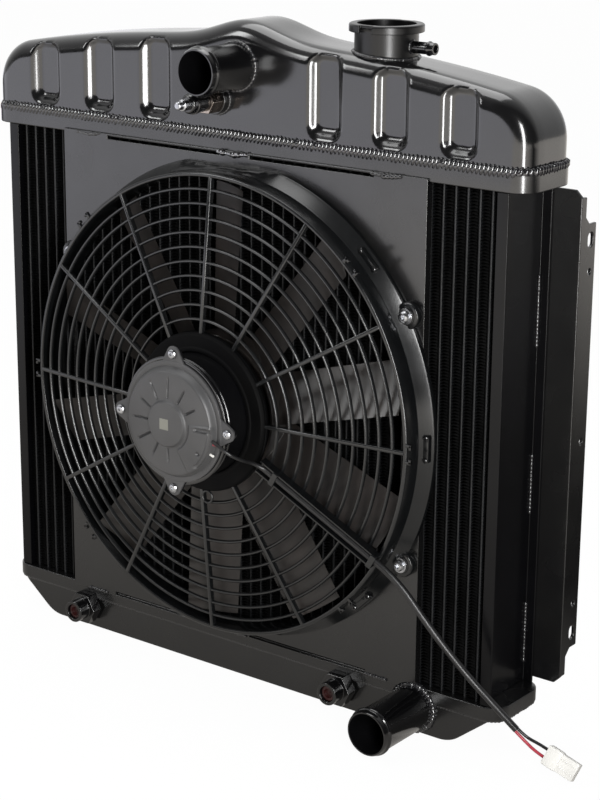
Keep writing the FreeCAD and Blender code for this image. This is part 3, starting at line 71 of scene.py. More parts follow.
TANK_LOW, TANK_HIGH = node_box("upper_tank")
HEADER_LOW, HEADER_HIGH = node_box("upper_header")
SEAM_LOW, SEAM_HIGH = node_box("lower_header")
FRAME_LOW, FRAME_HIGH = node_box("fan_frame")
CAP_BACK = node_box("motor_end_cap")[1].y
PANEL_LOW, PANEL_HIGH = node_box("shroud_panel")
FINS_LOW, FINS_HIGH = node_box("core_fins")
NECK_LOW, NECK_HIGH = node_box("upper_hose_neck")
LOW_NECK_LOW, LOW_NECK_HIGH = node_box("lower_hose_neck")
BUNG_LOW, BUNG_HIGH = node_box("sender_bung")
FILLER_LOW, FILLER_HIGH = node_box("filler_neck")
NIPPLE_LOW, NIPPLE_HIGH = node_box("overflow_nipple")
CHANNEL_LOW, CHANNEL_HIGH = node_box("side_channel_right")

FAN_HEIGHT = (FRAME_LOW.z + FRAME_HIGH.z) / 2
MIDDLE_Y = (TANK_LOW.y + TANK_HIGH.y) / 2
CORE_TOP = FINS_HIGH.z
CORE_BOTTOM = FINS_LOW.z

# ---------------------------------------------------------------- materials


def linear(hex_colour):
    """An sRGB hex colour as linear RGBA."""
    parts = [int(hex_colour[i:i + 2], 16) / 255 for i in (1, 3, 5)]
    return tuple(c / 12.92 if c <= 0.04045 else ((c + 0.055) / 1.055) ** 2.4 for c in parts) + (1.0,)


def add(tree, kind, inputs=None, **settings):
    """Add a node; each input is a number, a colour or another node's output."""
    made = tree.nodes.new("ShaderNode" + kind)
    for name, setting in settings.items():
        setattr(made, name, setting)
    for name, source in (inputs or {}).items():
        if isinstance(source, bpy.types.NodeSocket):
            tree.links.new(source, made.inputs[name])
        else:
            made.inputs[name].default_value = source
    return made


def per_mm(size):
    """Noise scale whose features are about that many millimetres across."""
    return 1000.0 / size


def start_material(name):
    """A material with an empty tree, and the Object coordinates its patterns read."""
    material = bpy.data.materials.new(name)
    material.use_nodes = True
    tree = material.node_tree
    tree.nodes.clear()
    place = add(tree, "TexCoord").outputs["Object"]
    return material, tree, place


def finish_material(tree, inputs):
    """Close a tree with one principled shader."""
    shader = add(tree, "BsdfPrincipled", inputs)
    add(tree, "OutputMaterial", {"Surface": shader.outputs["BSDF"]})


def mottled(tree, place, dark, light, size):
    """Two close colours mixed by soft noise."""
    noise = add(tree, "TexNoise", {"Vector": place, "Scale": per_mm(size), "Detail": 3.0})
    ramp = add(tree, "ValToRGB", {"Fac": noise.outputs["Fac"]})
    ramp.color_ramp.elements[0].position = 0.35
    ramp.color_ramp.elements[0].color = linear(dark)
    ramp.color_ramp.elements[1].position = 0.65
    ramp.color_ramp.elements[1].color = linear(light)
    return ramp.outputs["Color"]


def varied(tree, place, low, high, size):
    """A number that wanders between two values."""
    noise = add(tree, "TexNoise", {"Vector": place, "Scale": per_mm(size), "Detail": 2.0})
    span = add(tree, "MapRange", {"Value": noise.outputs["Fac"], "From Min": 0.3, "From Max": 0.7,
                                  "To Min": low, "To Max": high})
    return span.outputs["Result"]


def grained(tree, place, size, depth, detail=2.0):
    """A fine bump from noise, its depth in millimetres."""
    noise = add(tree, "TexNoise", {"Vector": place, "Scale": per_mm(size), "Detail": detail})
    bump = add(tree, "Bump", {"Height": noise.outputs["Fac"], "Strength": 1.0, "Distance": depth * MM})
    return bump.outputs["Normal"]


def sprayed_paint(name, dark, light, roughness, peel_depth, coat=0.0, shine=0.5):
    """Sprayed enamel: a slight orange peel about 2 mm across, and gloss that drifts a little."""
    material, tree, place = start_material(name)
    finish_material(tree, {
        "Base Color": mottled(tree, place, dark, light, 60),
        "Roughness": varied(tree, place, roughness * 0.85, roughness * 1.15, 35),
        "Normal": grained(tree, place, 2.2, peel_depth),
        "IOR": 1.55,
        "Specular IOR Level": shine,
        "Coat Weight": coat,
        "Coat Roughness": 0.12,
    })
    return material


def moulded_plastic(name, dark, light, roughness, grain_depth):
    """Glass-filled nylon: a fine even grain, about 0.8 mm, that spreads the light."""
    material, tree, place = start_material(name)
    finish_material(tree, {
        "Base Color": mottled(tree, place, dark, light, 25),
        "Roughness": varied(tree, place, roughness * 0.9, roughness * 1.1, 18),
        "Normal": grained(tree, place, 0.8, grain_depth),
        "IOR": 1.53,
    })
    return material


def plated_metal(name, dark, light, roughness, scratch):
    """Bright plate over steel or brass: sharp reflections with faint turning marks."""
    material, tree, place = start_material(name)
    finish_material(tree, {
        "Base Color": mottled(tree, place, dark, light, 6),
        "Metallic": 1.0,
        "Roughness": varied(tree, place, roughness * 0.8, roughness * 1.3, 4),
        "Normal": grained(tree, place, 0.5, scratch, 4.0),
    })
    return material


def extruded_vinyl(name, dark, light, roughness):
    """Soft cable insulation: smooth, with a faint waviness from extrusion."""
    material, tree, place = start_material(name)
    finish_material(tree, {
        "Base Color": mottled(tree, place, dark, light, 15),
        "Roughness": varied(tree, place, roughness * 0.9, roughness * 1.2, 10),
        "Normal": grained(tree, place, 4.0, 0.04),
        "IOR": 1.5,
    })
    return material


# Gloss enamel on drawn aluminium: nearly black, so its form is told by what it reflects.
TANK_ENAMEL = sprayed_paint("black_tank_enamel", "#0b0b0c", "#101011", 0.16, 0.006, 0.35)
# The same enamel on flat sheet, where it dried a little less smooth.
SHEET_ENAMEL = sprayed_paint("black_sheet_enamel", "#0b0b0c", "#101010", 0.26, 0.010, 0.3)
# Enamel over a weld pools between the ripples, and each crest catches a bright spot.
BEAD_ENAMEL = sprayed_paint("black_enamel_on_weld", "#141416", "#1d1d1f", 0.16, 0.04, 0.6)
# Deeper black on the sides and the filler, with little shine; on the side channels the darker
# black is painted shade. The necks keep their gloss.
SIDE_ENAMEL_PAINTED_SHADE = sprayed_paint("side_enamel_darkened_as_painted_shade", "#050506", "#08080a", 0.22, 0.008, 0.0, 0.16)
FILLER_ENAMEL = sprayed_paint("black_filler_enamel", "#060607", "#0a0a0b", 0.32, 0.008, 0.0, 0.35)
NECK_ENAMEL = sprayed_paint("black_neck_enamel", "#060607", "#0a0a0b", 0.15, 0.008, 0.3)
# A thin dull dusting on foil and tube edges; the foil is darkened to near black as painted
# shade inside the core, so the core reads as dark depth with faint lines.
CORE_COAT_PAINTED_SHADE = sprayed_paint("core_coat_darkened_as_painted_shade", "#020202", "#040404", 0.75, 0.03, 0.0, 0.05)
TUBE_COAT = sprayed_paint("black_tube_edge_coat", "#0b0c0d", "#111214", 0.50, 0.03, 0.0, 0.25)
# Moulded nylon on the frame, satin; the guard is a shade paler, the boss darker and dull with
# almost no shine as painted shade, and the blades browner where the glass fibre shows.
FAN_NYLON = moulded_plastic("black_glass_filled_nylon", "#090a0b", "#0e0f10", 0.22, 0.008)
RING_NYLON = moulded_plastic("black_guard_nylon", "#0f1011", "#151617", 0.24, 0.008)
BOSS_NYLON_PAINTED_SHADE = sprayed_paint("boss_nylon_darkened_as_painted_shade", "#030303", "#050506", 0.6, 0.02, 0.0, 0.06)
BLADE_NYLON = moulded_plastic("grey_brown_blade_nylon", "#1d1b1a", "#282422", 0.32, 0.010)
# The motor: a matt grey cap with a faint texture, in front of a gloss black can.
MOTOR_PAINT = sprayed_paint("matt_grey_motor_paint", "#333334", "#3e3e3f", 0.46, 0.02)
MOTOR_BLACK = sprayed_paint("gloss_black_motor_ring", "#08080a", "#0d0d0e", 0.16, 0.008, 0.3)
# Bright metal: cold zinc on the fasteners, warm brass and its dulled plate, a copper washer, and a
# weld brushed back to bare metal.
ZINC_PLATE = plated_metal("bright_zinc_plate", "#97989b", "#b2b3b6", 0.24, 0.01)
RAW_BRASS = plated_metal("machined_brass", "#6d5c4c", "#8d7963", 0.22, 0.01)
ADAPTER_PLATE = plated_metal("dull_plated_adapter", "#877d77", "#a1978f", 0.22, 0.01)
COPPER_SEAL = plated_metal("copper_seal", "#5a2b1b", "#733a22", 0.3, 0.02)
BARE_WELD = plated_metal("wire_brushed_weld", "#6e6e71", "#98989b", 0.26, 0.06)
# A soft waxy plug, then the pigtail: black sleeve, two wires and an unpigmented connector.
RED_POLYTHENE = moulded_plastic("dull_red_polythene", "#250c0b", "#331110", 0.42, 0.02)
BLACK_VINYL = extruded_vinyl("black_vinyl_sleeve", "#111112", "#181819", 0.34)
WIRE_BLACK = extruded_vinyl("black_wire_vinyl", "#101012", "#161618", 0.3)
WIRE_RED = extruded_vinyl("red_wire_vinyl", "#8f2734", "#a43644", 0.34)
NATURAL_NYLON = moulded_plastic("natural_white_nylon", "#c9c8c4", "#d6d5d1", 0.42, 0.01)
# Inside the motor: dull ceramic magnets, stacked steel, varnished copper, carbon and board.
FERRITE = moulded_plastic("sintered_ferrite", "#2a2a2c", "#343436", 0.7, 0.05)
LAMINATION = plated_metal("stacked_laminations", "#6b6b6e", "#838386", 0.4, 0.03)
ENAMELLED_COPPER = plated_metal("enamelled_copper", "#7d3d1f", "#9a5029", 0.3, 0.05)
PRESSED_CARBON = moulded_plastic("pressed_carbon", "#1b1b1c", "#242425", 0.6, 0.03)
PHENOLIC = moulded_plastic("brown_phenolic_board", "#43280f", "#543417", 0.5, 0.03)
# A bare label on the cap, greyer and flatter than the paint round it.
BARE_LABEL = sprayed_paint("blank_label_film", "#66665f", "#74746c", 0.5, 0.01)

# ---------------------------------------------------------------- mesh helpers


def new_object(name, data):
    """A scene object around a mesh, a curve, a lamp or a camera."""
    made = bpy.data.objects.new(name, data)
    bpy.context.scene.collection.objects.link(made)
    return made


def as_mesh(name, bm):
    """Write a bmesh to a mesh and free it."""
    mesh = bpy.data.meshes.new(name)
    bm.to_mesh(mesh)
    bm.free()
    return mesh


def settled_mesh(source):
    """An object's mesh with its bevel or modifiers applied."""
    bpy.context.view_layer.update()
    graph = bpy.context.evaluated_depsgraph_get()
    return bpy.data.meshes.new_from_object(source.evaluated_get(graph))


def vertices_of(geometry):
    """The vertices in what an operator returned."""
    return [item for item in geometry if isinstance(item, bmesh.types.BMVert)]


def point_out(bm):
    """Turn every face outwards."""
    bmesh.ops.recalc_face_normals(bm, faces=bm.faces)
    return bm


def piece(name, mesh, material, body=BODY, stands_for=(), sharp=35,
          flat_faces=False):
    """Make a mesh or a bmesh a finished piece that rides on a body."""
    if isinstance(mesh, bmesh.types.BMesh):
        mesh = as_mesh(name, mesh)
    mesh.shade_smooth()
    mesh.set_sharp_from_angle(angle=math.radians(sharp))
    made = new_object(name, mesh)
    mesh.materials.clear()
    mesh.materials.append(material)
    if flat_faces:
        even = made.modifiers.new("even", "WEIGHTED_NORMAL")
        even.keep_sharp = True
    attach(made, body)
    if stands_for:
        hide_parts(*stands_for)
    return made


def break_edges(bm, width, sharp=30, segments=3):
    """Round the edges that turn more sharply than an angle."""
    edges = [edge for edge in bm.edges
             if edge.is_manifold and edge.calc_face_angle(0.0) > math.radians(sharp)]
    bmesh.ops.bevel(bm, geom=edges, offset=width * MM, offset_type="OFFSET", segments=segments,
                    profile=0.5, affect="EDGES", clamp_overlap=False, material=-1)
    return bm


def eased(node, material, width, body=BODY, sharp=40):
    """A node's own form with its sharp edges slightly broken, as pressed or moulded ones are."""
    bm = bmesh.new()
    bm.from_mesh(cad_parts[node].data)
    bmesh.ops.remove_doubles(bm, verts=bm.verts, dist=0.00001)
    bmesh.ops.dissolve_limit(bm, angle_limit=math.radians(1.0), verts=bm.verts, edges=bm.edges)
    break_edges(bm, width, sharp, 2)
    return piece(node + "_finish", bm, material, body, [node], 50, True)


def spun_profile(corners, steps):
    """A closed ring from (radius, height) corners, its axis along Z through the origin."""
    bm = bmesh.new()
    chain = [bm.verts.new(mm(radius, 0, height)) for radius, height in corners]
    edges = [bm.edges.new((chain[i], chain[(i + 1) % len(chain)])) for i in range(len(chain))]
    bmesh.ops.spin(bm, geom=chain + edges, cent=(0, 0, 0), axis=(0, 0, 1), angle=2 * math.pi,
                   steps=steps, use_merge=True)
    bmesh.ops.remove_doubles(bm, verts=bm.verts, dist=0.000001)
    return point_out(bm)


def to_front(x, y, z):
    """A turn that points a spun piece's axis to the front, then its place."""
    return Matrix.Translation(mm(x, y, z)) @ Matrix.Rotation(math.radians(90), 4, "X")


def placed(bm, matrix):
    """Move a bmesh to its place."""
    bmesh.ops.transform(bm, matrix=matrix, verts=bm.verts)
    return bm


def turned(corners, steps, x, y, z, ease=None):
    """A spun piece that faces the front, its edges broken by (width, sharp, segments)."""
    bm = spun_profile(corners, steps)
    if ease:
        break_edges(bm, *ease)
    return placed(bm, to_front(x, y, z))


def joined(*parts):
    """Several bmeshes as one."""
    whole = bmesh.new()
    for part in parts:
        mesh = as_mesh("part", part)
        whole.from_mesh(mesh)
        bpy.data.meshes.remove(mesh)
    return whole


def block(low, high, ease=0.0):
    """A box between two corners, its edges rounded."""
    bm = bmesh.new()
    bmesh.ops.create_cube(bm, size=1.0)
    span = high - low
    centre = (low + high) / 2
    placed(bm, Matrix.Translation(centre * MM) @ Matrix.Diagonal((*(span * MM), 1.0)))
    if ease:
        bmesh.ops.bevel(bm, geom=bm.edges, offset=ease * MM, offset_type="OFFSET", segments=2,
                        profile=0.5, affect="EDGES", material=-1)
    return bm


# How the bead's radius runs through one ripple, from its swell to the dip before the next.
RIPPLE = (0.92, 1.03, 0.99, 0.76)


def weld_bead(name, route, radius, ripple, material, seed, closed=True, spread=0.16):
    """A run of weld: a round bead whose radius swells and drops at each ripple."""
    dice = random.Random(seed)
    lengths = [0.0]
    loop = route + [route[0]] if closed else route
    for start, end in zip(loop, loop[1:]):
        lengths.append(lengths[-1] + (end - start).length)
    steps = max(8, int(lengths[-1] / ripple)) * len(RIPPLE)
    curve = bpy.data.curves.new(name, "CURVE")
    curve.dimensions = "3D"
    spline = curve.splines.new("POLY")
    spline.points.add(steps - 1)
    leg = 0
    swell = 1.0
    for index in range(steps):
        reach = lengths[-1] * index / (steps if closed else steps - 1)
        while leg < len(lengths) - 2 and lengths[leg + 1] < reach:
            leg += 1
        share = (reach - lengths[leg]) / max(lengths[leg + 1] - lengths[leg], 1e-6)
        spot = loop[leg].lerp(loop[leg + 1], share)
        part = index % len(RIPPLE)
        if part == 0:
            swell = 1.0 + dice.uniform(-spread, spread)
        spline.points[index].co = (*(spot * MM), 1.0)
        spline.points[index].radius = swell * RIPPLE[part]
    spline.use_cyclic_u = closed
    curve.bevel_depth = radius * MM
    curve.bevel_resolution = 2
    curve.use_fill_caps = True
    source = new_object(name + "_curve", curve)
    mesh = settled_mesh(source)
    bpy.data.objects.remove(source)
    bpy.data.curves.remove(curve)
    return piece(name, mesh, material, sharp=50)


def circle_route(centre, radius, across, up, steps=48):
    """Points of a circle spanned by two directions."""
    return [centre + (across * math.cos(2 * math.pi * i / steps)
                      + up * math.sin(2 * math.pi * i / steps)) * radius for i in range(steps)]


def rounded_rectangle_route(low, high, corner, z, steps=6):
    """Points of an upright-cornered rectangle at one height, rounded."""
    points = []
    corners = [(high.x - corner, high.y - corner, 0), (low.x + corner, high.y - corner, 90),
               (low.x + corner, low.y + corner, 180), (high.x - corner, low.y + corner, 270)]
    for x, y, start in corners:
        for step in range(steps + 1):
            angle = math.radians(start + 90 * step / steps)
            points.append(Vector((x + corner * math.cos(angle), y + corner * math.sin(angle), z)))
    return points


# ---------------------------------------------------------------- camera and cords first

CAMERA_AZIMUTH = 37.33
CAMERA_ELEVATION = 16.54
CAMERA_ROLL = 0.472
CAMERA_DISTANCE = 1724.2
CAMERA_TARGET = Vector((68.9, 0.0, 266.0))
LENS = 93.4


def build_camera():
    """The front camera, turned about its own axis by a small roll."""
    azimuth, elevation, roll = (math.radians(angle) for angle in
                                (CAMERA_AZIMUTH, CAMERA_ELEVATION, CAMERA_ROLL))
    back = Vector((math.sin(azimuth) * math.cos(elevation),
                   -math.cos(azimuth) * math.cos(elevation), math.sin(elevation)))
    right = Vector((math.cos(azimuth), math.sin(azimuth), 0))
    up = back.cross(right)
    across = right * math.cos(roll) + up * math.sin(roll)
    upward = up * math.cos(roll) - right * math.sin(roll)
    camera = new_object("camera", bpy.data.cameras.new("camera"))
    camera.data.lens = LENS
    turn = Matrix((across, upward, back)).transposed().to_4x4()
    camera.matrix_world = Matrix.Translation((CAMERA_TARGET + back * CAMERA_DISTANCE) * MM) @ turn
    bpy.context.scene.camera = camera


LEAD_ROUTE = [(43.0, -84.5, 246.5), (59.0, -86.5, 240.0), (65.0, -73.0, 231.0),
              (66.5, -56.5, 224.5), (78.6, -48.9, 214.9), (176.2, -37.5, 158.5)]
SLEEVE_ROUTE = [(176.2, -37.5, 158.5), (195.2, -35.3, 147.6), (223.0, -31.0, 114.0),
                (251.0, -21.5, 79.5), (277.0, -10.5, 50.5), (291.2, -3.0, 33.6)]
RED_ROUTE = [(290.5, -3.8, 32.7), (296.3, -0.7, 25.8), (309.0, -1.3, 18.7), (317.0, -1.0, 16.1)]
BLACK_ROUTE = [(291.9, -2.2, 34.5), (297.7, 0.9, 27.6), (311.0, 1.8, 24.5), (318.85, 2.0, 21.9)]
CONNECTOR_BACK = Vector((318.0, 0.5, 19.0))
CONNECTOR_AXIS = Vector((0.951, 0.016, -0.307)).normalized()
CONNECTOR_SIDE = Vector((-0.146, 0.904, -0.404))
CONNECTOR_LENGTH = 29.0
CONNECTOR_WIDTH = 16.5
CONNECTOR_THICKNESS = 9.0
KEY_OFFSET = 3.4
SLEEVE_RADIUS = 3.0
WIRE_RADIUS = 1.3
UNSLEEVED = 0.5


def cable(name, route, radius, material, stands_for, thin=0):
    """A smooth cable along chosen points, thinner over the first few, where it has no sleeve."""
    curve = bpy.data.curves.new(name, "CURVE")
    curve.dimensions = "3D"
    spline = curve.splines.new("NURBS")
    spline.points.add(len(route) - 1)
    for point, spot in zip(spline.points, route):
        point.co = (*mm(*spot), 1.0)
    for point in spline.points[:thin]:
        point.radius = UNSLEEVED
    spline.order_u = 3
    spline.use_endpoint_u = True
    spline.resolution_u = 16
    curve.bevel_depth = radius * MM
    curve.bevel_resolution = 6
    curve.use_fill_caps = True
    curve.materials.append(material)
    made = new_object(name, curve)
    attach(made, BODY)
    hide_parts(stands_for)
    return made


def build_connector():
    """A two-way white housing: a stepped shell with a latch, two raised keys and side ribs."""
    up = CONNECTOR_AXIS.cross(CONNECTOR_SIDE).normalized()
    side = up.cross(CONNECTOR_AXIS)
    turn = Matrix((CONNECTOR_AXIS, side, up)).transposed().to_4x4()
    place = Matrix.Translation(CONNECTOR_BACK * MM) @ turn
    half = CONNECTOR_THICKNESS / 2
    edge = CONNECTOR_WIDTH / 2
    parts = [
        block(Vector((0, -half, -edge)), Vector((13, half, edge)), 0.9),
        block(Vector((12, 0.6 - half, 0.6 - edge)),
              Vector((CONNECTOR_LENGTH, half - 0.6, edge - 0.6)), 0.7),
        block(Vector((10, half - 0.6, -2.5)), Vector((24, half + 0.4, 2.5)), 0.4),
    ]
    for sign in (-1, 1):
        centre = sign * KEY_OFFSET
        parts.append(block(Vector((14, -half + 0.1, centre - 0.6)),
                           Vector((CONNECTOR_LENGTH - 1, -half + 0.9, centre + 0.6)), 0.3))
    for rib in (3.0, 6.0, 9.0):
        for sign in (-1, 1):
            parts.append(block(Vector((rib, -3, sign * edge - 0.3)),
                               Vector((rib + 1, 3, sign * edge + 0.3)), 0.1))
    return piece("connector_shell", placed(joined(*parts), place), NATURAL_NYLON,
                 stands_for=["connector_housing"])


build_camera()
CONNECTOR = build_connector()
cable("motor_lead_run", LEAD_ROUTE, SLEEVE_RADIUS, BLACK_VINYL, "motor_lead", 4)
SLEEVE = cable("cable_sleeve_run", SLEEVE_ROUTE, SLEEVE_RADIUS, BLACK_VINYL, "cable_sleeve")
RED = cable("red_wire_run", RED_ROUTE, WIRE_RADIUS, WIRE_RED, "red_wire")
BLACK = cable("black_wire_run", BLACK_ROUTE, WIRE_RADIUS, WIRE_BLACK, "black_wire")

# ---------------------------------------------------------------- upper tank

CREST_HEIGHT = 95.4
CREST_FALL = 27.8
CROWN_RISE = 13.6
CROWN_SPREAD = 40.6
TANK_CORNER = 40.0
TANK_EDGE = 15.0
TANK_SHEET = 2.0
FLUTE_FIRST = 89.0
FLUTE_PITCH = 64.0
FLUTE_COUNT = 3
FLUTE_HALF_WIDTH = 18.5
FLUTE_CORNER = 13.0
FLUTE_WALL = 9.2
FLUTE_DEPTH = 7.3
FLUTE_FOOT = CORE_TOP + 20.0
FLUTE_OVERRUN = 1.0
FLUTE_BLEND = 0.6
GRID_STEP = 1.6
NECK_HOLE = 18.0
FILLER_HOLE = 25.0
HOLE_DEPTH = 34.0


def crest(x):
    """Height of the tank's top line."""
    bow = CREST_FALL * (x / TANK_HIGH.x) ** 2
    crown = CROWN_RISE * math.exp(-(x / CROWN_SPREAD) ** 2)
    return CORE_TOP + CREST_HEIGHT - bow + crown


def crest_slope(x):
    """Steepness of the top line."""
    step = 0.5
    return (crest(x + step) - crest(x - step)) / (2 * step)


def smooth_step(low, high, number):
    """A soft rise from 0 at the low end to 1 at the high end."""
    share = min(1.0, max(0.0, (number - low) / (high - low)))
    return share * share * (3 - 2 * share)


def tank_outline():
    """Points of the top line with their outward directions, from the left wall to the right."""
    half = TANK_HIGH.x
    start_x = half - TANK_CORNER
    # The corner starts where the bowed line leans into it, which is found in a few rounds.
    for _ in range(8):
        lean = math.atan(-crest_slope(start_x))
        start_x = half - TANK_CORNER * (1 - math.sin(lean))
    foot = Vector((start_x, crest(start_x)))
    centre = foot - Vector((math.sin(lean), math.cos(lean))) * TANK_CORNER
    right = []
    count = round(start_x / GRID_STEP)
    for step in range(count + 1):
        x = start_x * step / count
        slope = crest_slope(x)
        out = Vector((-slope, 1.0)).normalized()
        right.append((Vector((x, crest(x))), out))
    bends = 16
    for step in range(1, bends + 1):
        angle = lean + (math.pi / 2 - lean) * step / bends
        out = Vector((math.sin(angle), math.cos(angle)))
        right.append((centre + out * TANK_CORNER, out))
    left = [(Vector((-spot.x, spot.y)), Vector((-out.x, out.y))) for spot, out in right[:0:-1]]
    return left + right


def flute_share(x, z):
    """How far the pressed flutes sink at a place of the face, from 0 to 1."""
    deepest = 0.0
    for index in range(FLUTE_COUNT):
        middle = FLUTE_FIRST + index * FLUTE_PITCH
        offset = abs(abs(x) - middle)
        if offset < FLUTE_HALF_WIDTH + 1:
            side = offset - (FLUTE_HALF_WIDTH - FLUTE_CORNER)
            end = max(FLUTE_FOOT + FLUTE_CORNER - z, z - crest(middle) - FLUTE_OVERRUN + FLUTE_CORNER)
            inside = max(side, end) if min(side, end) < 0 else math.hypot(side, end)
            deepest = max(deepest, smooth_step(0.0, FLUTE_WALL, FLUTE_CORNER - inside))
    return deepest


def cut_hole(tank, name, radius, matrix):
    """Cut a round hole through the tank's wall."""
    bm = bmesh.new()
    bmesh.ops.create_cone(bm, cap_ends=True, segments=64, radius1=radius * MM,
                          radius2=radius * MM, depth=HOLE_DEPTH * MM)
    tool = new_object(name, as_mesh(name, placed(bm, matrix)))
    hole = tank.modifiers.new(name, "BOOLEAN")
    hole.object = tool
    hole.operation = "DIFFERENCE"
    hole.solver = "EXACT"
    solid = settled_mesh(tank)
    tank.modifiers.clear()
    tank.data = solid
    bpy.data.objects.remove(tool)


def build_upper_tank():
    """A pressed tank: one sheet drawn over rounded edges, with upright flutes in both faces."""
    outline = tank_outline()
    columns = len(outline) - 1
    rows = 36
    depth = (TANK_HIGH.y - TANK_LOW.y) / 2
    bm = bmesh.new()
    side_x = bm.verts.layers.float.new("side_x")
    side_z = bm.verts.layers.float.new("side_z")
    base_x = bm.verts.layers.float.new("base_x")
    base_z = bm.verts.layers.float.new("base_z")
    # The flat face first; each vertex keeps its way outwards, for the edge that is drawn from it.
    bmesh.ops.create_grid(bm, x_segments=columns, y_segments=rows, size=1.0)
    rim = set()
    for vert in bm.verts:
        column = round((vert.co.x + 1) / 2 * columns)
        row = round((vert.co.y + 1) / 2 * rows)
        spot, out = outline[column]
        edge_spot = spot - out * TANK_EDGE
        x = edge_spot.x
        z = TANK_LOW.z + (edge_spot.y - TANK_LOW.z) * row / rows
        if column in (0, columns):
            out = Vector((-1.0 if column == 0 else 1.0, 0.0))
        vert[side_x], vert[side_z] = out.x, out.y
        vert[base_x], vert[base_z] = x, z
        vert.co = Vector((x, -depth, z))
        if column in (0, columns) or row == rows:
            rim.add(vert)
    edges = [edge for edge in bm.edges if edge.is_boundary and edge.verts[0] in rim
             and edge.verts[1] in rim]
    # Then the rounded edge and the wall, ring by ring, back to the tank's middle.
    bends = 9
    flats = 2
    rings = [(TANK_EDGE * math.sin(math.pi / 2 * k / bends),
              TANK_EDGE * (1 - math.cos(math.pi / 2 * k / bends)) - depth)
             for k in range(1, bends + 1)]
    rings += [(TANK_EDGE, (TANK_EDGE - depth) * (1 - k / flats)) for k in range(1, flats + 1)]
    for outward, y in rings:
        grown = bmesh.ops.extrude_edge_only(bm, edges=edges)["geom"]
        for vert in vertices_of(grown):
            vert.co = Vector((vert[base_x] + vert[side_x] * outward, y,
                              vert[base_z] + vert[side_z] * outward))
        edges = [item for item in grown if isinstance(item, bmesh.types.BMEdge)
                 and item.is_boundary and all(abs(v.co.y - y) < 0.001 for v in item.verts)]
    # The flutes are pressed into the face, and the back half is the front one mirrored.
    for vert in bm.verts:
        sunk = FLUTE_DEPTH * flute_share(vert.co.x, vert.co.z) - depth - vert.co.y
        if sunk > 0:
            vert.co.y += sunk * sunk / (sunk + FLUTE_BLEND)
    twin = bmesh.ops.duplicate(bm, geom=bm.verts[:] + bm.edges[:] + bm.faces[:])["geom"]
    bmesh.ops.scale(bm, vec=(1, -1, 1), verts=vertices_of(twin))
    bmesh.ops.remove_doubles(bm, verts=bm.verts, dist=0.01)
    point_out(bm)
    if sum(face.normal.y * face.calc_center_median().y for face in bm.faces) < 0:
        bmesh.ops.reverse_faces(bm, faces=bm.faces)
    placed(bm, Matrix.Translation((0, MIDDLE_Y, 0)))
    bmesh.ops.scale(bm, vec=(MM, MM, MM), verts=bm.verts)
    tank = piece("upper_tank_shell", bm, TANK_ENAMEL, stands_for=["upper_tank"], sharp=80)
    wall = tank.modifiers.new("sheet", "SOLIDIFY")
    wall.thickness = TANK_SHEET * MM
    wall.offset = -1.0
    neck_z = (NECK_LOW.z + NECK_HIGH.z) / 2
    filler = Vector(((FILLER_LOW.x + FILLER_HIGH.x) / 2, MIDDLE_Y, FILLER_LOW.z))
    cut_hole(tank, "neck_hole", NECK_HOLE, to_front(0, TANK_LOW.y, neck_z))
    cut_hole(tank, "filler_hole", FILLER_HOLE, Matrix.Translation(filler * MM))
    tank.data.shade_smooth()
    tank.data.set_sharp_from_angle(angle=math.radians(60))


build_upper_tank()

# ---------------------------------------------------------------- headers, lower tank and their welds

SEAM_CORNER = 16.0
SEAM_STRETCH = 0.4
SEAM_LEAN = 0.5


def seam_route(low, high, inset, z):
    """A seam's run around a header, set in from its edges."""
    return rounded_rectangle_route(Vector((low.x + inset, low.y + inset, 0)),
                                   Vector((high.x - inset, high.y - inset, 0)), SEAM_CORNER, z)


def build_headers():
    """The pressed headers and lower tank, and the rippled seams between tanks and headers."""
    for node, width in (("upper_header", 1.2), ("lower_header", 1.0), ("lower_tank", 1.2)):
        eased(node, SHEET_ENAMEL, width)
    route = seam_route(HEADER_LOW, HEADER_HIGH, 2.5, HEADER_HIGH.z + 0.2)
    seam = weld_bead("upper_seam_weld", route, 3.7, 3.9, BEAD_ENAMEL, 11, spread=0.09)
    for vert in seam.data.vertices:
        above = vert.co.z - HEADER_HIGH.z * MM
        vert.co.z += above * SEAM_STRETCH
        vert.co.x += above * SEAM_LEAN
    route = seam_route(SEAM_LOW, SEAM_HIGH, 1.8, SEAM_LOW.z - 0.1)
    weld_bead("lower_seam_weld", route, 1.6, 3.0, BEAD_ENAMEL, 12)


build_headers()

# ---------------------------------------------------------------- core

FIN_FOLD = 2.6
TUBE_PITCH = 11.2
TUBE_THICKNESS = 2.0
FIN_FOIL = 0.15
FIN_INSET = 0.6
FIN_GAP = 1.0
FIN_BITE = 0.05


def fin_strip(name, left, width, count, stands_for):
    """Folded strips between upright tubes, each fold a little over a millimetre high."""
    folds = int((CORE_TOP - CORE_BOTTOM - 2 * FIN_GAP) / FIN_FOLD)
    bm = bmesh.new()
    spots = [(left, 0.0), (left + width, FIN_FOLD / 2), (left, FIN_FOLD)]
    front = FINS_LOW.y + FIN_INSET
    back = FINS_HIGH.y - FIN_INSET
    chain = [bm.verts.new(mm(x, front, CORE_BOTTOM + FIN_GAP + z)) for x, z in spots]
    edges = [bm.edges.new(pair) for pair in zip(chain, chain[1:])]
    grown = bmesh.ops.extrude_edge_only(bm, edges=edges)["geom"]
    bmesh.ops.translate(bm, vec=mm(0, back - front, 0), verts=vertices_of(grown))
    # The fins carry the near-black coat, painted shade of the core's depth.
    fins = piece(name, point_out(bm), CORE_COAT_PAINTED_SHADE, stands_for=stands_for)
    for label, number, offset, merge in (("folds", folds, (0, 0, FIN_FOLD * MM), True),
                                         ("strips", count, (TUBE_PITCH * MM, 0, 0), False)):
        array = fins.modifiers.new(label, "ARRAY")
        array.use_relative_offset = False
        array.use_constant_offset = True
        array.constant_offset_displace = offset
        array.count = number
        array.use_merge_vertices = merge
        array.merge_threshold = 0.00002
    foil = fins.modifiers.new("foil", "SOLIDIFY")
    foil.thickness = FIN_FOIL * MM


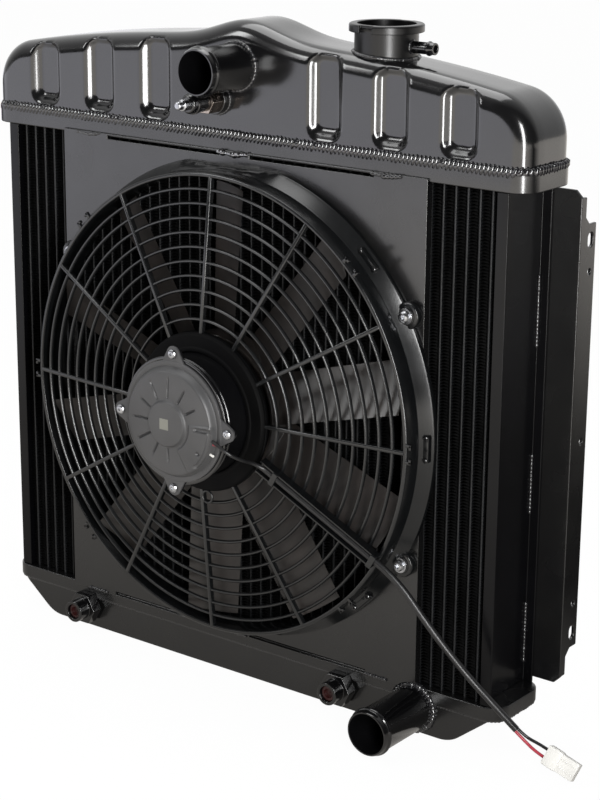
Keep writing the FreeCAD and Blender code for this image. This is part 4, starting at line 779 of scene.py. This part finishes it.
def build_core():
    """Fin strips between the tubes and one narrow strip beside each outer tube.

    The folds bite a little into the tubes, as brazed ones do, so no light comes between.
    """
    low, high = node_box("core_tubes")
    spaces = round((high.x - low.x - TUBE_THICKNESS) / TUBE_PITCH)
    inner = TUBE_PITCH - TUBE_THICKNESS + 2 * FIN_BITE
    fin_strip("fin_strips", low.x + TUBE_THICKNESS - FIN_BITE, inner, spaces, ["core_fins"])
    edge = low.x - FINS_LOW.x + 2 * FIN_BITE
    fin_strip("fin_edge_left", FINS_LOW.x - FIN_BITE, edge, 1, [])
    fin_strip("fin_edge_right", high.x - FIN_BITE, edge, 1, [])


build_core()

# ---------------------------------------------------------------- sides and brackets

STITCH_HEIGHTS = ((330.0, 388.0), (190.0, 240.0), (60.0, 112.0))
STITCH_OUT = 2.6
STITCH_IN = 3.4


def build_sides():
    """The side channels and brackets, with short welds inside each channel."""
    for side, sign in (("right", 1), ("left", -1)):
        # The channels take the darker enamel, which paints shade on them.
        eased("side_channel_" + side, SIDE_ENAMEL_PAINTED_SHADE, 0.8)
        eased("mount_bracket_" + side, SHEET_ENAMEL, 0.8)
        web = sign * (CHANNEL_LOW.x + STITCH_OUT)
        for count, (low, high) in enumerate(STITCH_HEIGHTS):
            for depth, y in (("front", CHANNEL_LOW.y + STITCH_IN),
                             ("rear", CHANNEL_HIGH.y - STITCH_IN)):
                run = [Vector((web, y, low)), Vector((web, y, high))]
                weld_bead("channel_stitch_%s_%s_%d" % (side, depth, count), run, 1.5, 3.2,
                          BEAD_ENAMEL, 20 + count, closed=False)


build_sides()

# ---------------------------------------------------------------- shroud panel

# Each tack's start and end, and for the upper ones its radius and finish.
TOP_TACKS = ((-17, 15, 2.25, BARE_WELD), (139, 168, 1.95, BEAD_ENAMEL),
             (-176, -150, 1.2, BEAD_ENAMEL))
FOOT_TACKS = ((-14, 14), (142, 164), (-172, -150))
TACK_INSET = 1.5


def build_panel():
    """The flat panel and the tacks that hold it; the middle one at the top is left bare."""
    eased("shroud_panel", SHEET_ENAMEL, 0.5)
    top = PANEL_HIGH.z - TACK_INSET
    face = PANEL_LOW.y
    for index, (start, end, radius, finish) in enumerate(TOP_TACKS):
        run = [Vector((start, face - 0.3, top)), Vector(((start + end) / 2, face - 0.5, top - 1.2)),
               Vector((end, face - 0.3, top + 0.3))]
        weld_bead("panel_tack_top_%d" % index, run, radius, 4.2, finish, 40 + index,
                  closed=False, spread=0.35)
    foot = PANEL_LOW.z + TACK_INSET
    for index, (start, end) in enumerate(FOOT_TACKS):
        run = [Vector((start, face - 0.2, foot)), Vector((end, face - 0.2, foot))]
        weld_bead("panel_tack_foot_%d" % index, run, 1.5, 4.0, BEAD_ENAMEL, 50 + index,
                  closed=False, spread=0.3)


build_panel()

# ---------------------------------------------------------------- necks

NECK_TUBE = 19.05
NECK_BORE = 17.05
BEAD_RISE = 1.65
BEAD_BACK = 9.0
BEAD_WIDTH = 5.2
FILLER_WELD = 26.0
NIPPLE_OUT = 25.2
NIPPLE_WELD = 5.2


def hose_neck(name, low, high, seed, fillet):
    """A hose tube with a rolled bead near its mouth and a rippled weld at its foot."""
    length = high.y - low.y
    x = (low.x + high.x) / 2
    z = (low.z + high.z) / 2
    bead = [(NECK_TUBE + BEAD_RISE * math.sin(math.pi * k / 8) ** 1.4,
             length - BEAD_BACK + BEAD_WIDTH * k / 8) for k in range(9)]
    corners = [(NECK_BORE, 0), (NECK_TUBE, 0), *bead, (NECK_TUBE, length - 1.0),
               (NECK_TUBE - 0.7, length), (NECK_BORE + 0.3, length), (NECK_BORE, length - 0.6)]
    piece(name + "_tube", turned(corners, 96, x, high.y, z), NECK_ENAMEL, stands_for=[name],
          sharp=50)
    foot = Vector((x, TANK_LOW.y - 0.6, z))
    route = circle_route(foot, NECK_TUBE + 0.6, ACROSS, UPWARD)
    weld_bead(name + "_weld", route, fillet, 3.4, BEAD_ENAMEL, seed)


def build_necks():
    """The two hose necks, and the filler with its overflow nipple and their welds."""
    hose_neck("upper_hose_neck", NECK_LOW, NECK_HIGH, 61, 2.1)
    hose_neck("lower_hose_neck", LOW_NECK_LOW, LOW_NECK_HIGH, 62, 3.2)
    eased("filler_neck", FILLER_ENAMEL, 0.6, sharp=30)
    eased("overflow_nipple", NECK_ENAMEL, 0.3, sharp=30)
    centre = Vector(((FILLER_LOW.x + FILLER_HIGH.x) / 2, MIDDLE_Y, 0))
    circle = circle_route(centre, FILLER_WELD, ACROSS, BACKWARD, 64)
    route = [Vector((spot.x, spot.y, crest(spot.x) + 0.2)) for spot in circle]
    weld_bead("filler_weld", route, 1.7, 3.0, BEAD_ENAMEL, 63)
    rise = (NIPPLE_LOW.z + NIPPLE_HIGH.z) / 2
    ring = circle_route(Vector((centre.x + NIPPLE_OUT, MIDDLE_Y, rise)), NIPPLE_WELD,
                        BACKWARD, UPWARD, 24)
    weld_bead("nipple_weld", ring, 0.9, 2.4, BEAD_ENAMEL, 64)


build_necks()

# ---------------------------------------------------------------- sender and cooler ports

BUNG_WELD = 12.2
COLLAR_SETBACK = 12.0
PLUG_RADIUS = 6.95


def build_sender():
    """The bung in the tank, and the plated adapter, sender and terminal screwed into it."""
    eased("sender_bung", NECK_ENAMEL, 0.8)
    eased("sender_adapter", ADAPTER_PLATE, 0.5, sharp=30)
    eased("sender_body", NECK_ENAMEL, 0.8)
    eased("sender_terminal", ZINC_PLATE, 0.4, sharp=30)
    x = (BUNG_LOW.x + BUNG_HIGH.x) / 2
    z = (BUNG_LOW.z + BUNG_HIGH.z) / 2
    route = circle_route(Vector((x, TANK_LOW.y - 0.2, z)), BUNG_WELD, ACROSS, UPWARD, 36)
    weld_bead("bung_weld", route, 1.2, 2.6, BEAD_ENAMEL, 71)
    washer = turned([(5.2, 0), (9.2, 0), (9.5, 0.5), (9.2, 1.2), (5.2, 1.2)], 64,
                    x, BUNG_LOW.y + 0.1, z)
    piece("sender_seal", washer, COPPER_SEAL)
    body_back = node_box("sender_body")[1].y
    collar = turned([(4.9, 0), (8.9, 0), (8.9, 2.4), (8.1, 3.0), (4.9, 3.0)], 64,
                    x, body_back - COLLAR_SETBACK, z)
    piece("sender_collar", collar, NECK_ENAMEL)


def build_ports():
    """The oil cooler's two ports, each closed by a soft transport plug."""
    eased("cooler_ports", NECK_ENAMEL, 0.7, sharp=30)
    low, high = node_box("port_plugs")
    z = (low.z + high.z) / 2
    corners = [(0.6, 0), (6.9, 0), (6.9, 8.4), (6.2, 9.0), (4.4, 9.0), (4.0, 6.0), (0.6, 6.0)]
    bm = joined(*(turned(corners, 48, x, high.y, z)
                  for x in (low.x + PLUG_RADIUS, high.x - PLUG_RADIUS)))
    bmesh.ops.holes_fill(bm, edges=bm.edges, sides=60)
    piece("transport_plugs", bm, RED_POLYTHENE, stands_for=["port_plugs"])


build_sender()
build_ports()

# ---------------------------------------------------------------- fan frame

DRUM_RADIUS = 199.0
DRUM_WALL = 3.0
FRAME_RADIUS = 207.6
FRAME_FLAT = (FRAME_HIGH.z - FRAME_LOW.z) / 2
NOTCH_ANGLES = (0, 45, 135, 180, 225, 315)
EAR_ACROSS = 180.0
EAR_UP = 104.0
HOOK_APART = 7.0
HOOK_TIP = 4.4
EYELET_APART = 2.6


def on_fan(angle, radius, y):
    """A place around the fan's axis; the angle runs from the right, up."""
    turn = math.radians(angle)
    return Vector((radius * math.cos(turn), y, FAN_HEIGHT + radius * math.sin(turn)))


def round_the_fan(angle):
    """A turn about the fan's axis that takes the right side to an angle."""
    return (Matrix.Translation(mm(0, 0, FAN_HEIGHT))
            @ Matrix.Rotation(-math.radians(angle), 4, "Y"))


def ear_places(y):
    """The four places where the frame is screwed to the panel."""
    return [(x * EAR_ACROSS, y, FAN_HEIGHT + z * EAR_UP) for x in (-1, 1) for z in (-1, 1)]


def build_fan_frame():
    """The moulded ring: a thin drum, a sloping flange with a foot, ears, notches and hooks."""
    front = FRAME_LOW.y
    foot = FRAME_HIGH.y
    inner = DRUM_RADIUS - DRUM_WALL
    depth = foot - front
    corners = [(inner, 0), (inner, depth), (FRAME_RADIUS, depth),
               (FRAME_RADIUS, depth - 4.0), (FRAME_RADIUS - 1.6, depth - 5.2),
               (DRUM_RADIUS + 2.4, depth - 12.5), (DRUM_RADIUS + 0.4, depth - 14.5),
               (DRUM_RADIUS + 0.2, 1.2), (DRUM_RADIUS - 0.8, 0)]
    ring = spun_profile([(radius, depth - height) for radius, height in corners], 240)
    for vert in ring.verts:
        vert.co.y = max(-FRAME_FLAT * MM, min(FRAME_FLAT * MM, vert.co.y))
    break_edges(ring, 0.5, 40, 2)
    placed(ring, to_front(0, foot, FAN_HEIGHT))
    corners = [(2.8, 0), (11.0, 0), (11.0, 5.6), (10.0, 7.0), (7.6, 7.0), (7.6, 8.0), (2.8, 8.0)]
    ears = [turned(corners, 48, *place, (0.4, 40, 2)) for place in ear_places(foot)]
    piece("fan_ring", joined(ring, *ears), FAN_NYLON, stands_for=["fan_frame"],
          sharp=40)
    hooks = []
    for angle in NOTCH_ANGLES:
        for side in (-1, 1):
            heel, toe = side * HOOK_APART, side * HOOK_TIP
            arm = block(Vector((DRUM_RADIUS - 1.0, 0, heel - 1.4)),
                        Vector((DRUM_RADIUS + 4.6, 3.0, heel + 1.4)), 0.4)
            tip = block(Vector((DRUM_RADIUS + 2.2, 0, min(heel, toe) - 0.8)),
                        Vector((DRUM_RADIUS + 4.6, 3.0, max(heel, toe) + 0.8)), 0.4)
            for part in (arm, tip):
                lift = Matrix.Translation(mm(0, front - 0.3, 0))
                hooks.append(placed(part, round_the_fan(angle) @ lift))
        step = block(Vector((DRUM_RADIUS + 0.6, 0, -11.0)),
                     Vector((FRAME_RADIUS - 0.8, 5.0, 11.0)), 0.8)
        hooks.append(placed(step, round_the_fan(angle) @ Matrix.Translation(mm(0, foot - 11.5, 0))))
    piece("frame_hooks", joined(*hooks), FAN_NYLON)
    corners = [(0.9, 0), (2.0, 0), (2.0, 1.0), (1.6, 1.4), (0.9, 1.4)]
    eyelets = []
    for angle in NOTCH_ANGLES:
        for side in (-1, 1):
            spot = on_fan(angle + side * EYELET_APART, FRAME_RADIUS - 3.2, foot - 11.4)
            eyelets.append(turned(corners, 20, *spot))
    piece("frame_eyelets", joined(*eyelets), MOTOR_BLACK)


build_fan_frame()

# ---------------------------------------------------------------- guard

RING_COUNT = 11
RING_PITCH = 11.87
RING_STEP = 1.2
RING_HALF = 1.45
RING_DEPTH = 4.0
OUTER_RING_HALF = 1.9
OUTER_RING_DEPTH = 3.2
SPOKE_COUNT = 12
SPOKE_HALF = 1.8
SPOKE_DEPTH = 5.2
BOSS_BORE = 52.3
EYE_ANGLE = -84
EYE_RADIUS = 5.2
EYE_WIRE = 1.1


def ring_radius(index):
    """A guard ring's radius, counted inwards from the drum."""
    return DRUM_RADIUS - DRUM_WALL / 2 - index * RING_PITCH


def guard_front(radius):
    """The guard's front surface rises steadily from the drum to the boss."""
    return FRAME_LOW.y - (DRUM_RADIUS - DRUM_WALL / 2 - radius) * RING_STEP / RING_PITCH


def build_guard():
    """Rounded rings on twelve ribs between the drum and the motor's boss."""
    bars = []
    for index in range(RING_COUNT + 1):
        radius = ring_radius(index)
        half = RING_HALF if index else OUTER_RING_HALF
        deep = RING_DEPTH if index else OUTER_RING_DEPTH
        corners = [(radius + half * math.cos(turn), deep / 2 + deep / 2 * math.sin(turn))
                   for turn in (2 * math.pi * k / 10 for k in range(10))]
        corners = [(reach, deep - height) for reach, height in corners]
        bars.append(turned(corners, 180, 0, guard_front(radius) + deep, FAN_HEIGHT))
    inner = ring_radius(RING_COUNT) - 1.0
    length = ring_radius(0) - inner
    slope = math.atan(RING_STEP / RING_PITCH)
    lift = (Matrix.Translation(mm(inner, guard_front(inner) - 0.5, 0))
            @ Matrix.Rotation(slope, 4, "Z"))
    for index in range(SPOKE_COUNT):
        rib = block(Vector((0, 0, -SPOKE_HALF)), Vector((length, SPOKE_DEPTH, SPOKE_HALF)), 1.0)
        bars.append(placed(rib, round_the_fan(index * 360 / SPOKE_COUNT) @ lift))
    boss_out = ring_radius(RING_COUNT) + 1.4
    face = guard_front(boss_out) - 4.0
    corners = [(BOSS_BORE + 0.1, 0), (boss_out, 0), (boss_out, 5.0), (boss_out - 2, 8.0),
               (BOSS_BORE + 4, 8.0), (BOSS_BORE + 3, 9.0), (BOSS_BORE + 0.1, 9.0)]
    boss = turned(corners, 180, 0, face + 9.0, FAN_HEIGHT, (0.7, 25, 3))
    # The boss is a darker, dull copy of the guard's nylon: painted shade.
    piece("guard_boss", boss, BOSS_NYLON_PAINTED_SHADE, sharp=45)
    eye = bmesh.new()
    bmesh.ops.create_circle(eye, segments=10, radius=EYE_WIRE * MM)
    bmesh.ops.translate(eye, vec=mm(EYE_RADIUS, 0, 0), verts=eye.verts)
    bmesh.ops.spin(eye, geom=eye.verts[:] + eye.edges[:], cent=(0, 0, 0), axis=(0, 1, 0),
                   angle=2 * math.pi, steps=32, use_merge=True)
    bmesh.ops.remove_doubles(eye, verts=eye.verts, dist=0.000001)
    spot = on_fan(EYE_ANGLE, boss_out + 5.0, face + 3.0)
    bars.append(placed(point_out(eye), Matrix.Translation(spot * MM)))
    piece("guard_rings", joined(*bars), RING_NYLON, stands_for=["fan_grille"],
          sharp=45)
    eased("wire_guide", FAN_NYLON, 0.35)
    eased("guide_clips", RING_NYLON, 0.35)


build_guard()

# ---------------------------------------------------------------- motor

EAR_CIRCLE = 57.5
CAP_DISC = 19.5
CAP_DOME = 48.6
CAP_PIN = 0.4
CAP_SHEET = 2.5
CAP_LIFT = 0.6
CAP_SHOULDER = 43.0
DISC_HEIGHT = 10.4
DISC_DOME = 0.6
FACE_HEIGHT = 7.6
FACE_FALL = 1.2
SHOULDER_FALL = 7.0
CREASE_APART = 30.0
CREASE_DEPTH = 1.9
PAD_HEIGHT = 1.2
GROOVE_DEPTH = 2.1
LABEL_HALF = 4.6
LABEL_FILM = 0.12
SCREW_ANGLES = (0, 90, 180, 270)


def cap_height(radius):
    """Height of the cap's dome in front of its rim flange."""
    if radius < CAP_DISC - 1.2:
        return DISC_HEIGHT + DISC_DOME * (1 - (radius / CAP_DISC) ** 2)
    if radius < CAP_DISC + 0.8:
        step = 1 - smooth_step(CAP_DISC - 1.2, CAP_DISC + 0.8, radius)
        return FACE_HEIGHT + (DISC_HEIGHT - FACE_HEIGHT) * step
    if radius < CAP_SHOULDER:
        return FACE_HEIGHT - FACE_FALL * ((radius - CAP_DISC) / (CAP_SHOULDER - CAP_DISC)) ** 2
    return FACE_HEIGHT - FACE_FALL - SHOULDER_FALL * smooth_step(CAP_SHOULDER, CAP_DOME, radius)


def cap_relief(radius, angle):
    """What is pressed into the dome: short creases, and a raised pad with a bent groove."""
    x = radius * math.cos(math.radians(angle))
    z = radius * math.sin(math.radians(angle))
    pad = (smooth_step(-64.0, -60.0, angle) * (1 - smooth_step(4.0, 8.0, angle))
           * smooth_step(22.0, 24.0, radius) * (1 - smooth_step(44.5, 46.5, radius)))
    relief = PAD_HEIGHT * pad
    if not -66 < angle < 10:
        crease = round(angle / CREASE_APART) * CREASE_APART
        apart = abs(angle - crease) * math.pi / 180 * radius
        reach = 36.0 + 3.0 * math.sin(crease)
        ends = smooth_step(21.0, 22.0, radius) * (1 - smooth_step(reach - 3, reach + 2, radius))
        relief -= CREASE_DEPTH * ends * (1 - smooth_step(0.1, 1.3, apart))
    ends = smooth_step(28.0, 30.0, x) * (1 - smooth_step(43.0, 45.0, radius))
    across = ends * (1 - smooth_step(0.8, 2.0, abs(z - 0.5)))
    ends = smooth_step(-52.0, -46.0, angle) * (1 - smooth_step(-1.0, 1.0, angle))
    down = ends * (1 - smooth_step(0.8, 2.0, abs(radius - CAP_SHOULDER)))
    dimple = 1 - smooth_step(0.8, 2.2, math.hypot(x - 32.0, z + 20.0))
    return relief - GROOVE_DEPTH * max(across, down, dimple)


def screw_lug(angle, face_y, thickness, ear):
    """A flat lug that widens from a screw's ear to the round flange behind it."""
    bm = bmesh.new()
    for depth in (0.0, thickness):
        for step in range(28):
            turn = 2 * math.pi * step / 28
            bm.verts.new(mm(EAR_CIRCLE + ear * math.cos(turn), depth, ear * math.sin(turn)))
        for side in (-1, 1):
            turn = math.radians(side * 13)
            for radius in (49.2, 51.3):
                bm.verts.new(mm(radius * math.cos(turn), depth, radius * math.sin(turn)))
    hull = bmesh.ops.convex_hull(bm, input=bm.verts)
    bmesh.ops.delete(bm, geom=hull["geom_interior"], context="VERTS")
    bmesh.ops.dissolve_limit(bm, angle_limit=math.radians(1.0), verts=bm.verts, edges=bm.edges)
    break_edges(point_out(bm), 0.35, 60, 2)
    return placed(bm, round_the_fan(angle) @ Matrix.Translation(mm(0, face_y, 0)))


def build_motor_cap():
    """The pressed end cap: a domed face, a round centre disc, creases and four screw ears."""
    bm = bmesh.new()
    rings = 72
    spokes = 360
    reach = CAP_DOME - CAP_PIN
    chain = [bm.verts.new(mm(CAP_PIN + reach * k / rings, 0, 0)) for k in range(rings + 1)]
    edges = [bm.edges.new(pair) for pair in zip(chain, chain[1:])]
    bmesh.ops.spin(bm, geom=chain + edges, cent=(0, 0, 0), axis=(0, 0, 1), angle=2 * math.pi,
                   steps=spokes, use_merge=True)
    bmesh.ops.remove_doubles(bm, verts=bm.verts, dist=0.000001)
    for vert in bm.verts:
        radius = math.hypot(vert.co.x, vert.co.y) / MM
        angle = math.degrees(math.atan2(vert.co.y, vert.co.x))
        vert.co.z = (cap_height(radius) + cap_relief(radius, angle)) * MM
    bmesh.ops.holes_fill(bm, edges=[e for e in bm.edges if e.is_boundary
                                    and e.verts[0].co.length < 12 * MM], sides=spokes)
    point_out(bm)
    if sum(face.normal.z for face in bm.faces) < 0:
        bmesh.ops.reverse_faces(bm, faces=bm.faces)
    dome_back = CAP_BACK - CAP_SHEET + CAP_LIFT
    dome = placed(bm, to_front(0, dome_back, FAN_HEIGHT))
    rim = turned([(46.0, 0), (51.6, 0), (51.6, 2.1), (51.2, CAP_SHEET), (46.0, CAP_SHEET)], 180,
                 0, CAP_BACK, FAN_HEIGHT, (0.25, 25, 2))
    parts = [dome, rim]
    for angle in SCREW_ANGLES:
        parts.append(screw_lug(angle, CAP_BACK - 2.1, 2.0, 6.6))
    piece("motor_cap", joined(*parts), MOTOR_PAINT, stands_for=["motor_end_cap"],
          sharp=40)
    plate = bmesh.new()
    bmesh.ops.create_grid(plate, x_segments=1, y_segments=1, size=LABEL_HALF * MM)
    solid = bmesh.ops.extrude_face_region(plate, geom=plate.faces[:])["geom"]
    bmesh.ops.translate(plate, vec=mm(0, 0, LABEL_FILM), verts=vertices_of(solid))
    placed(point_out(plate), to_front(-1.0, dome_back - cap_height(0) + 0.02, FAN_HEIGHT))
    piece("blank_label", plate, BARE_LABEL)


def build_motor_can():
    """The can behind the cap: a lipped flange, a black drum and its rear nose."""
    low, high = node_box("motor_can")
    front = low.y
    depth = high.y - front
    corners = [(50.2, 0), (54.0, 0), (54.6, 0.8), (54.0, 2.5), (52.4, 2.7), (52.4, 6.0), (53.2, 6.6),
               (53.2, 8.4), (52.2, 9.0), (52.0, 30.0), (52.0, depth - 11.0),
               (46.0, depth - 5.2), (13.2, depth - 5.0), (13.0, depth), (6.0, depth),
               (6.0, depth - 2.0), (11.1, depth - 2.0), (11.1, depth - 6.8), (45.0, depth - 7.0),
               (50.2, depth - 12.2)]
    corners = [(radius, depth - height) for radius, height in corners]
    parts = [turned(corners, 180, 0, high.y, FAN_HEIGHT, (0.3, 30, 2))]
    for angle in SCREW_ANGLES:
        parts.append(screw_lug(angle, front + 0.1, 2.3, 6.2))
    piece("motor_drum", joined(*parts), MOTOR_BLACK, stands_for=["motor_can"],
          sharp=35)


def socket_screw(head, rise, shank, length, socket, depth):
    """A round-headed screw with a hexagonal socket, its head's seat at height 0."""
    corners = [(0.3, -length), (shank, -length), (shank, 0), (head, 0), (head, rise * 0.45),
               (head * 0.82, rise * 0.85), (head * 0.6, rise), (socket, rise), (socket, rise - depth),
               (0.3, rise - depth)]
    bm = spun_profile(corners, 48)
    bmesh.ops.holes_fill(bm, edges=[e for e in bm.edges if e.is_boundary], sides=60)
    for vert in bm.verts:
        radius = math.hypot(vert.co.x, vert.co.y)
        if abs(radius - socket * MM) < 1e-5:
            angle = math.atan2(vert.co.y, vert.co.x) % (math.pi / 3) - math.pi / 6
            scale = math.cos(math.pi / 6) / math.cos(angle)
            vert.co.x *= scale * 1.1
            vert.co.y *= scale * 1.1
    return bm


def build_screws():
    """The four screws that hold the fan and the four small ones that hold the motor's cap."""
    low, high = node_box("fan_screws")
    washer_front = node_box("fan_washers")[0].y
    screws = []
    for place in ear_places(washer_front):
        screw = socket_screw(4.75, washer_front - low.y, 2.5, high.y - washer_front, 2.1, 2.6)
        screws.append(placed(screw, to_front(*place)))
    piece("fan_screw_heads", joined(*screws), ZINC_PLATE, stands_for=["fan_screws"],
          sharp=30)
    eased("fan_washers", ZINC_PLATE, 0.2, sharp=60)
    screws = []
    for angle in SCREW_ANGLES:
        screw = socket_screw(4.0, 2.2, 1.45, 8.5, 1.3, 1.2)
        screws.append(placed(screw, to_front(*on_fan(angle, EAR_CIRCLE, CAP_BACK - CAP_SHEET))))
    piece("motor_screw_heads", joined(*screws), ZINC_PLATE, stands_for=["motor_screws"],
          sharp=30)


def build_lead_stubs():
    """The red and white cores that show where the lead leaves the cap."""
    for name, material, angle in (("lead_core_red", WIRE_RED, -13),
                                  ("lead_core_white", NATURAL_NYLON, -25)):
        stub = spun_profile([(0.1, 0), (1.1, 0.2), (1.1, 3.6), (0.7, 4.0), (0.1, 4.1)], 16)
        lay = (round_the_fan(angle) @ Matrix.Translation(mm(45.6, -83.6, 0))
               @ Matrix.Rotation(math.radians(84), 4, "Y"))
        piece(name, placed(stub, lay), material)


build_motor_cap()
build_motor_can()
build_screws()
build_lead_stubs()

# ---------------------------------------------------------------- the nodes that stay


def build_kept_nodes():
    """The turning pieces, and the nodes that keep their own meshes under a finish."""
    eased("impeller", BLADE_NYLON, 0.5, ROTOR, sharp=50)
    eased("impeller_nut", ZINC_PLATE, 0.3, ROTOR, sharp=30)
    kept = {
        "core_tubes": TUBE_COAT, "oil_cooler": RAW_BRASS, "rivet_nuts": ZINC_PLATE,
        "magnets": FERRITE, "armature_core": LAMINATION, "armature_windings": ENAMELLED_COPPER,
        "commutator": ENAMELLED_COPPER, "brushes": PRESSED_CARBON, "brush_holder": PHENOLIC,
        "bearing_rear": ZINC_PLATE, "bearing_front": ZINC_PLATE, "motor_shaft": ZINC_PLATE,
        "connector_terminals": ZINC_PLATE,
    }
    for name, material in kept.items():
        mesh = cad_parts[name].data
        mesh.materials.clear()
        mesh.materials.append(material)


build_kept_nodes()

# ---------------------------------------------------------------- studio


def softbox(name, place, target, width, height, power):
    """A soft rectangular lamp, its places and sizes in metres, that the camera doesn't see."""
    lamp = bpy.data.lights.new(name, "AREA")
    lamp.shape = "RECTANGLE"
    lamp.size = width
    lamp.size_y = height
    lamp.energy = power
    made = new_object(name, lamp)
    made.visible_camera = False
    made.location = place
    aim = Vector(target) - Vector(place)
    made.rotation_euler = aim.to_track_quat("-Z", "Y").to_euler()


FLOOR_HALF = 12.0
FLOOR_DROP = 0.0005


def build_floor():
    """A pale floor that takes the object's shadow.

    The camera sees it white. Other rays see a painted glow in its place, painted light and
    painted shade: bright in front, dark under the object as a painted shadow, bright again far
    behind it, cool far to the left and warm elsewhere, so that black gloss shows its shape.
    """
    material, tree, place = start_material("pale_studio_floor")
    ray = add(tree, "LightPath")
    spot = add(tree, "SeparateXYZ", {0: place})
    # Painted light and painted shade on the floor for all but camera rays: bright in front, a painted
    # shadow under the object, brighter again far behind.
    painted_light_to_shade_ramp = add(tree, "MapRange", {"Value": spot.outputs["Y"], "From Min": -1.45, "From Max": 0.35,
                                  "To Min": 2.1, "To Max": 0.02})
    rise = add(tree, "MapRange", {"Value": spot.outputs["Y"], "From Min": 0.7, "From Max": 2.2,
                                  "To Min": 0.0, "To Max": 1.3})
    both = add(tree, "Math", {0: painted_light_to_shade_ramp.outputs["Result"], 1: rise.outputs["Result"]},
               operation="ADD")
    side = add(tree, "MapRange", {"Value": spot.outputs["X"], "From Min": -1.25,
                                  "From Max": -0.65})
    painted_light_tint = add(tree, "Mix", {0: side.outputs["Result"], 6: linear("#eeeef6"),
                             7: linear("#fffaf3")}, data_type="RGBA")
    painted_floor_glow = add(tree, "Emission", {"Color": painted_light_tint.outputs[2], "Strength": both.outputs[0]})
    card = add(tree, "BsdfPrincipled", {"Base Color": linear("#fbfbfb"), "Roughness": 0.9,
                                        "Specular IOR Level": 0.2})
    lit = add(tree, "Emission", {"Color": linear("#ffffff"), "Strength": 1.0})
    seen_floor = add(tree, "MixShader", {0: 0.97, 1: card.outputs["BSDF"],
                                         2: lit.outputs["Emission"]})
    blend = add(tree, "MixShader", {0: ray.outputs["Is Camera Ray"], 1: painted_floor_glow.outputs["Emission"],
                                    2: seen_floor.outputs["Shader"]})
    add(tree, "OutputMaterial", {"Surface": blend.outputs["Shader"]})
    bm = bmesh.new()
    bmesh.ops.create_grid(bm, x_segments=2, y_segments=2, size=FLOOR_HALF)
    bmesh.ops.translate(bm, vec=(0, 0, -FLOOR_DROP), verts=bm.verts)
    floor = new_object("studio_floor", as_mesh("studio_floor", bm))
    floor.data.materials.append(material)


def build_surround():
    """A surround that the camera sees white and that lights the object more from behind."""
    world = bpy.data.worlds.new("studio")
    world.use_nodes = True
    tree = world.node_tree
    tree.nodes.clear()
    toward = add(tree, "VectorMath", {0: add(tree, "TexCoord").outputs["Generated"],
                                      1: (-0.55, 0.72, 0.42)}, operation="DOT_PRODUCT")
    rear = add(tree, "MapRange", {"Value": toward.outputs["Value"], "From Min": -0.1,
                                  "From Max": 0.85, "To Min": 0.05, "To Max": 1.1})
    sky = add(tree, "Background", {"Color": linear("#f4f4f4"), "Strength": rear.outputs["Result"]})
    seen = add(tree, "Background", {"Color": linear("#ffffff"), "Strength": 1.0})
    ray = add(tree, "LightPath")
    mix = add(tree, "MixShader", {0: ray.outputs["Is Camera Ray"], 1: sky.outputs["Background"],
                                  2: seen.outputs["Background"]})
    add(tree, "OutputWorld", {"Surface": mix.outputs["Shader"]})
    bpy.context.scene.world = world


build_floor()
build_surround()
softbox("strip_right", (1.12, -0.94, 0.62), (0.1, 0.0, 0.45), 0.26, 1.2, 26)
softbox("overhead", (-0.3, 0.1, 1.9), (0.0, 0.0, 0.3), 1.2, 1.0, 13)
softbox("front_left", (-1.4, -1.6, 1.5), (0.0, 0.0, 0.25), 0.5, 0.9, 14)
bpy.context.scene.view_settings.view_transform = "Standard"
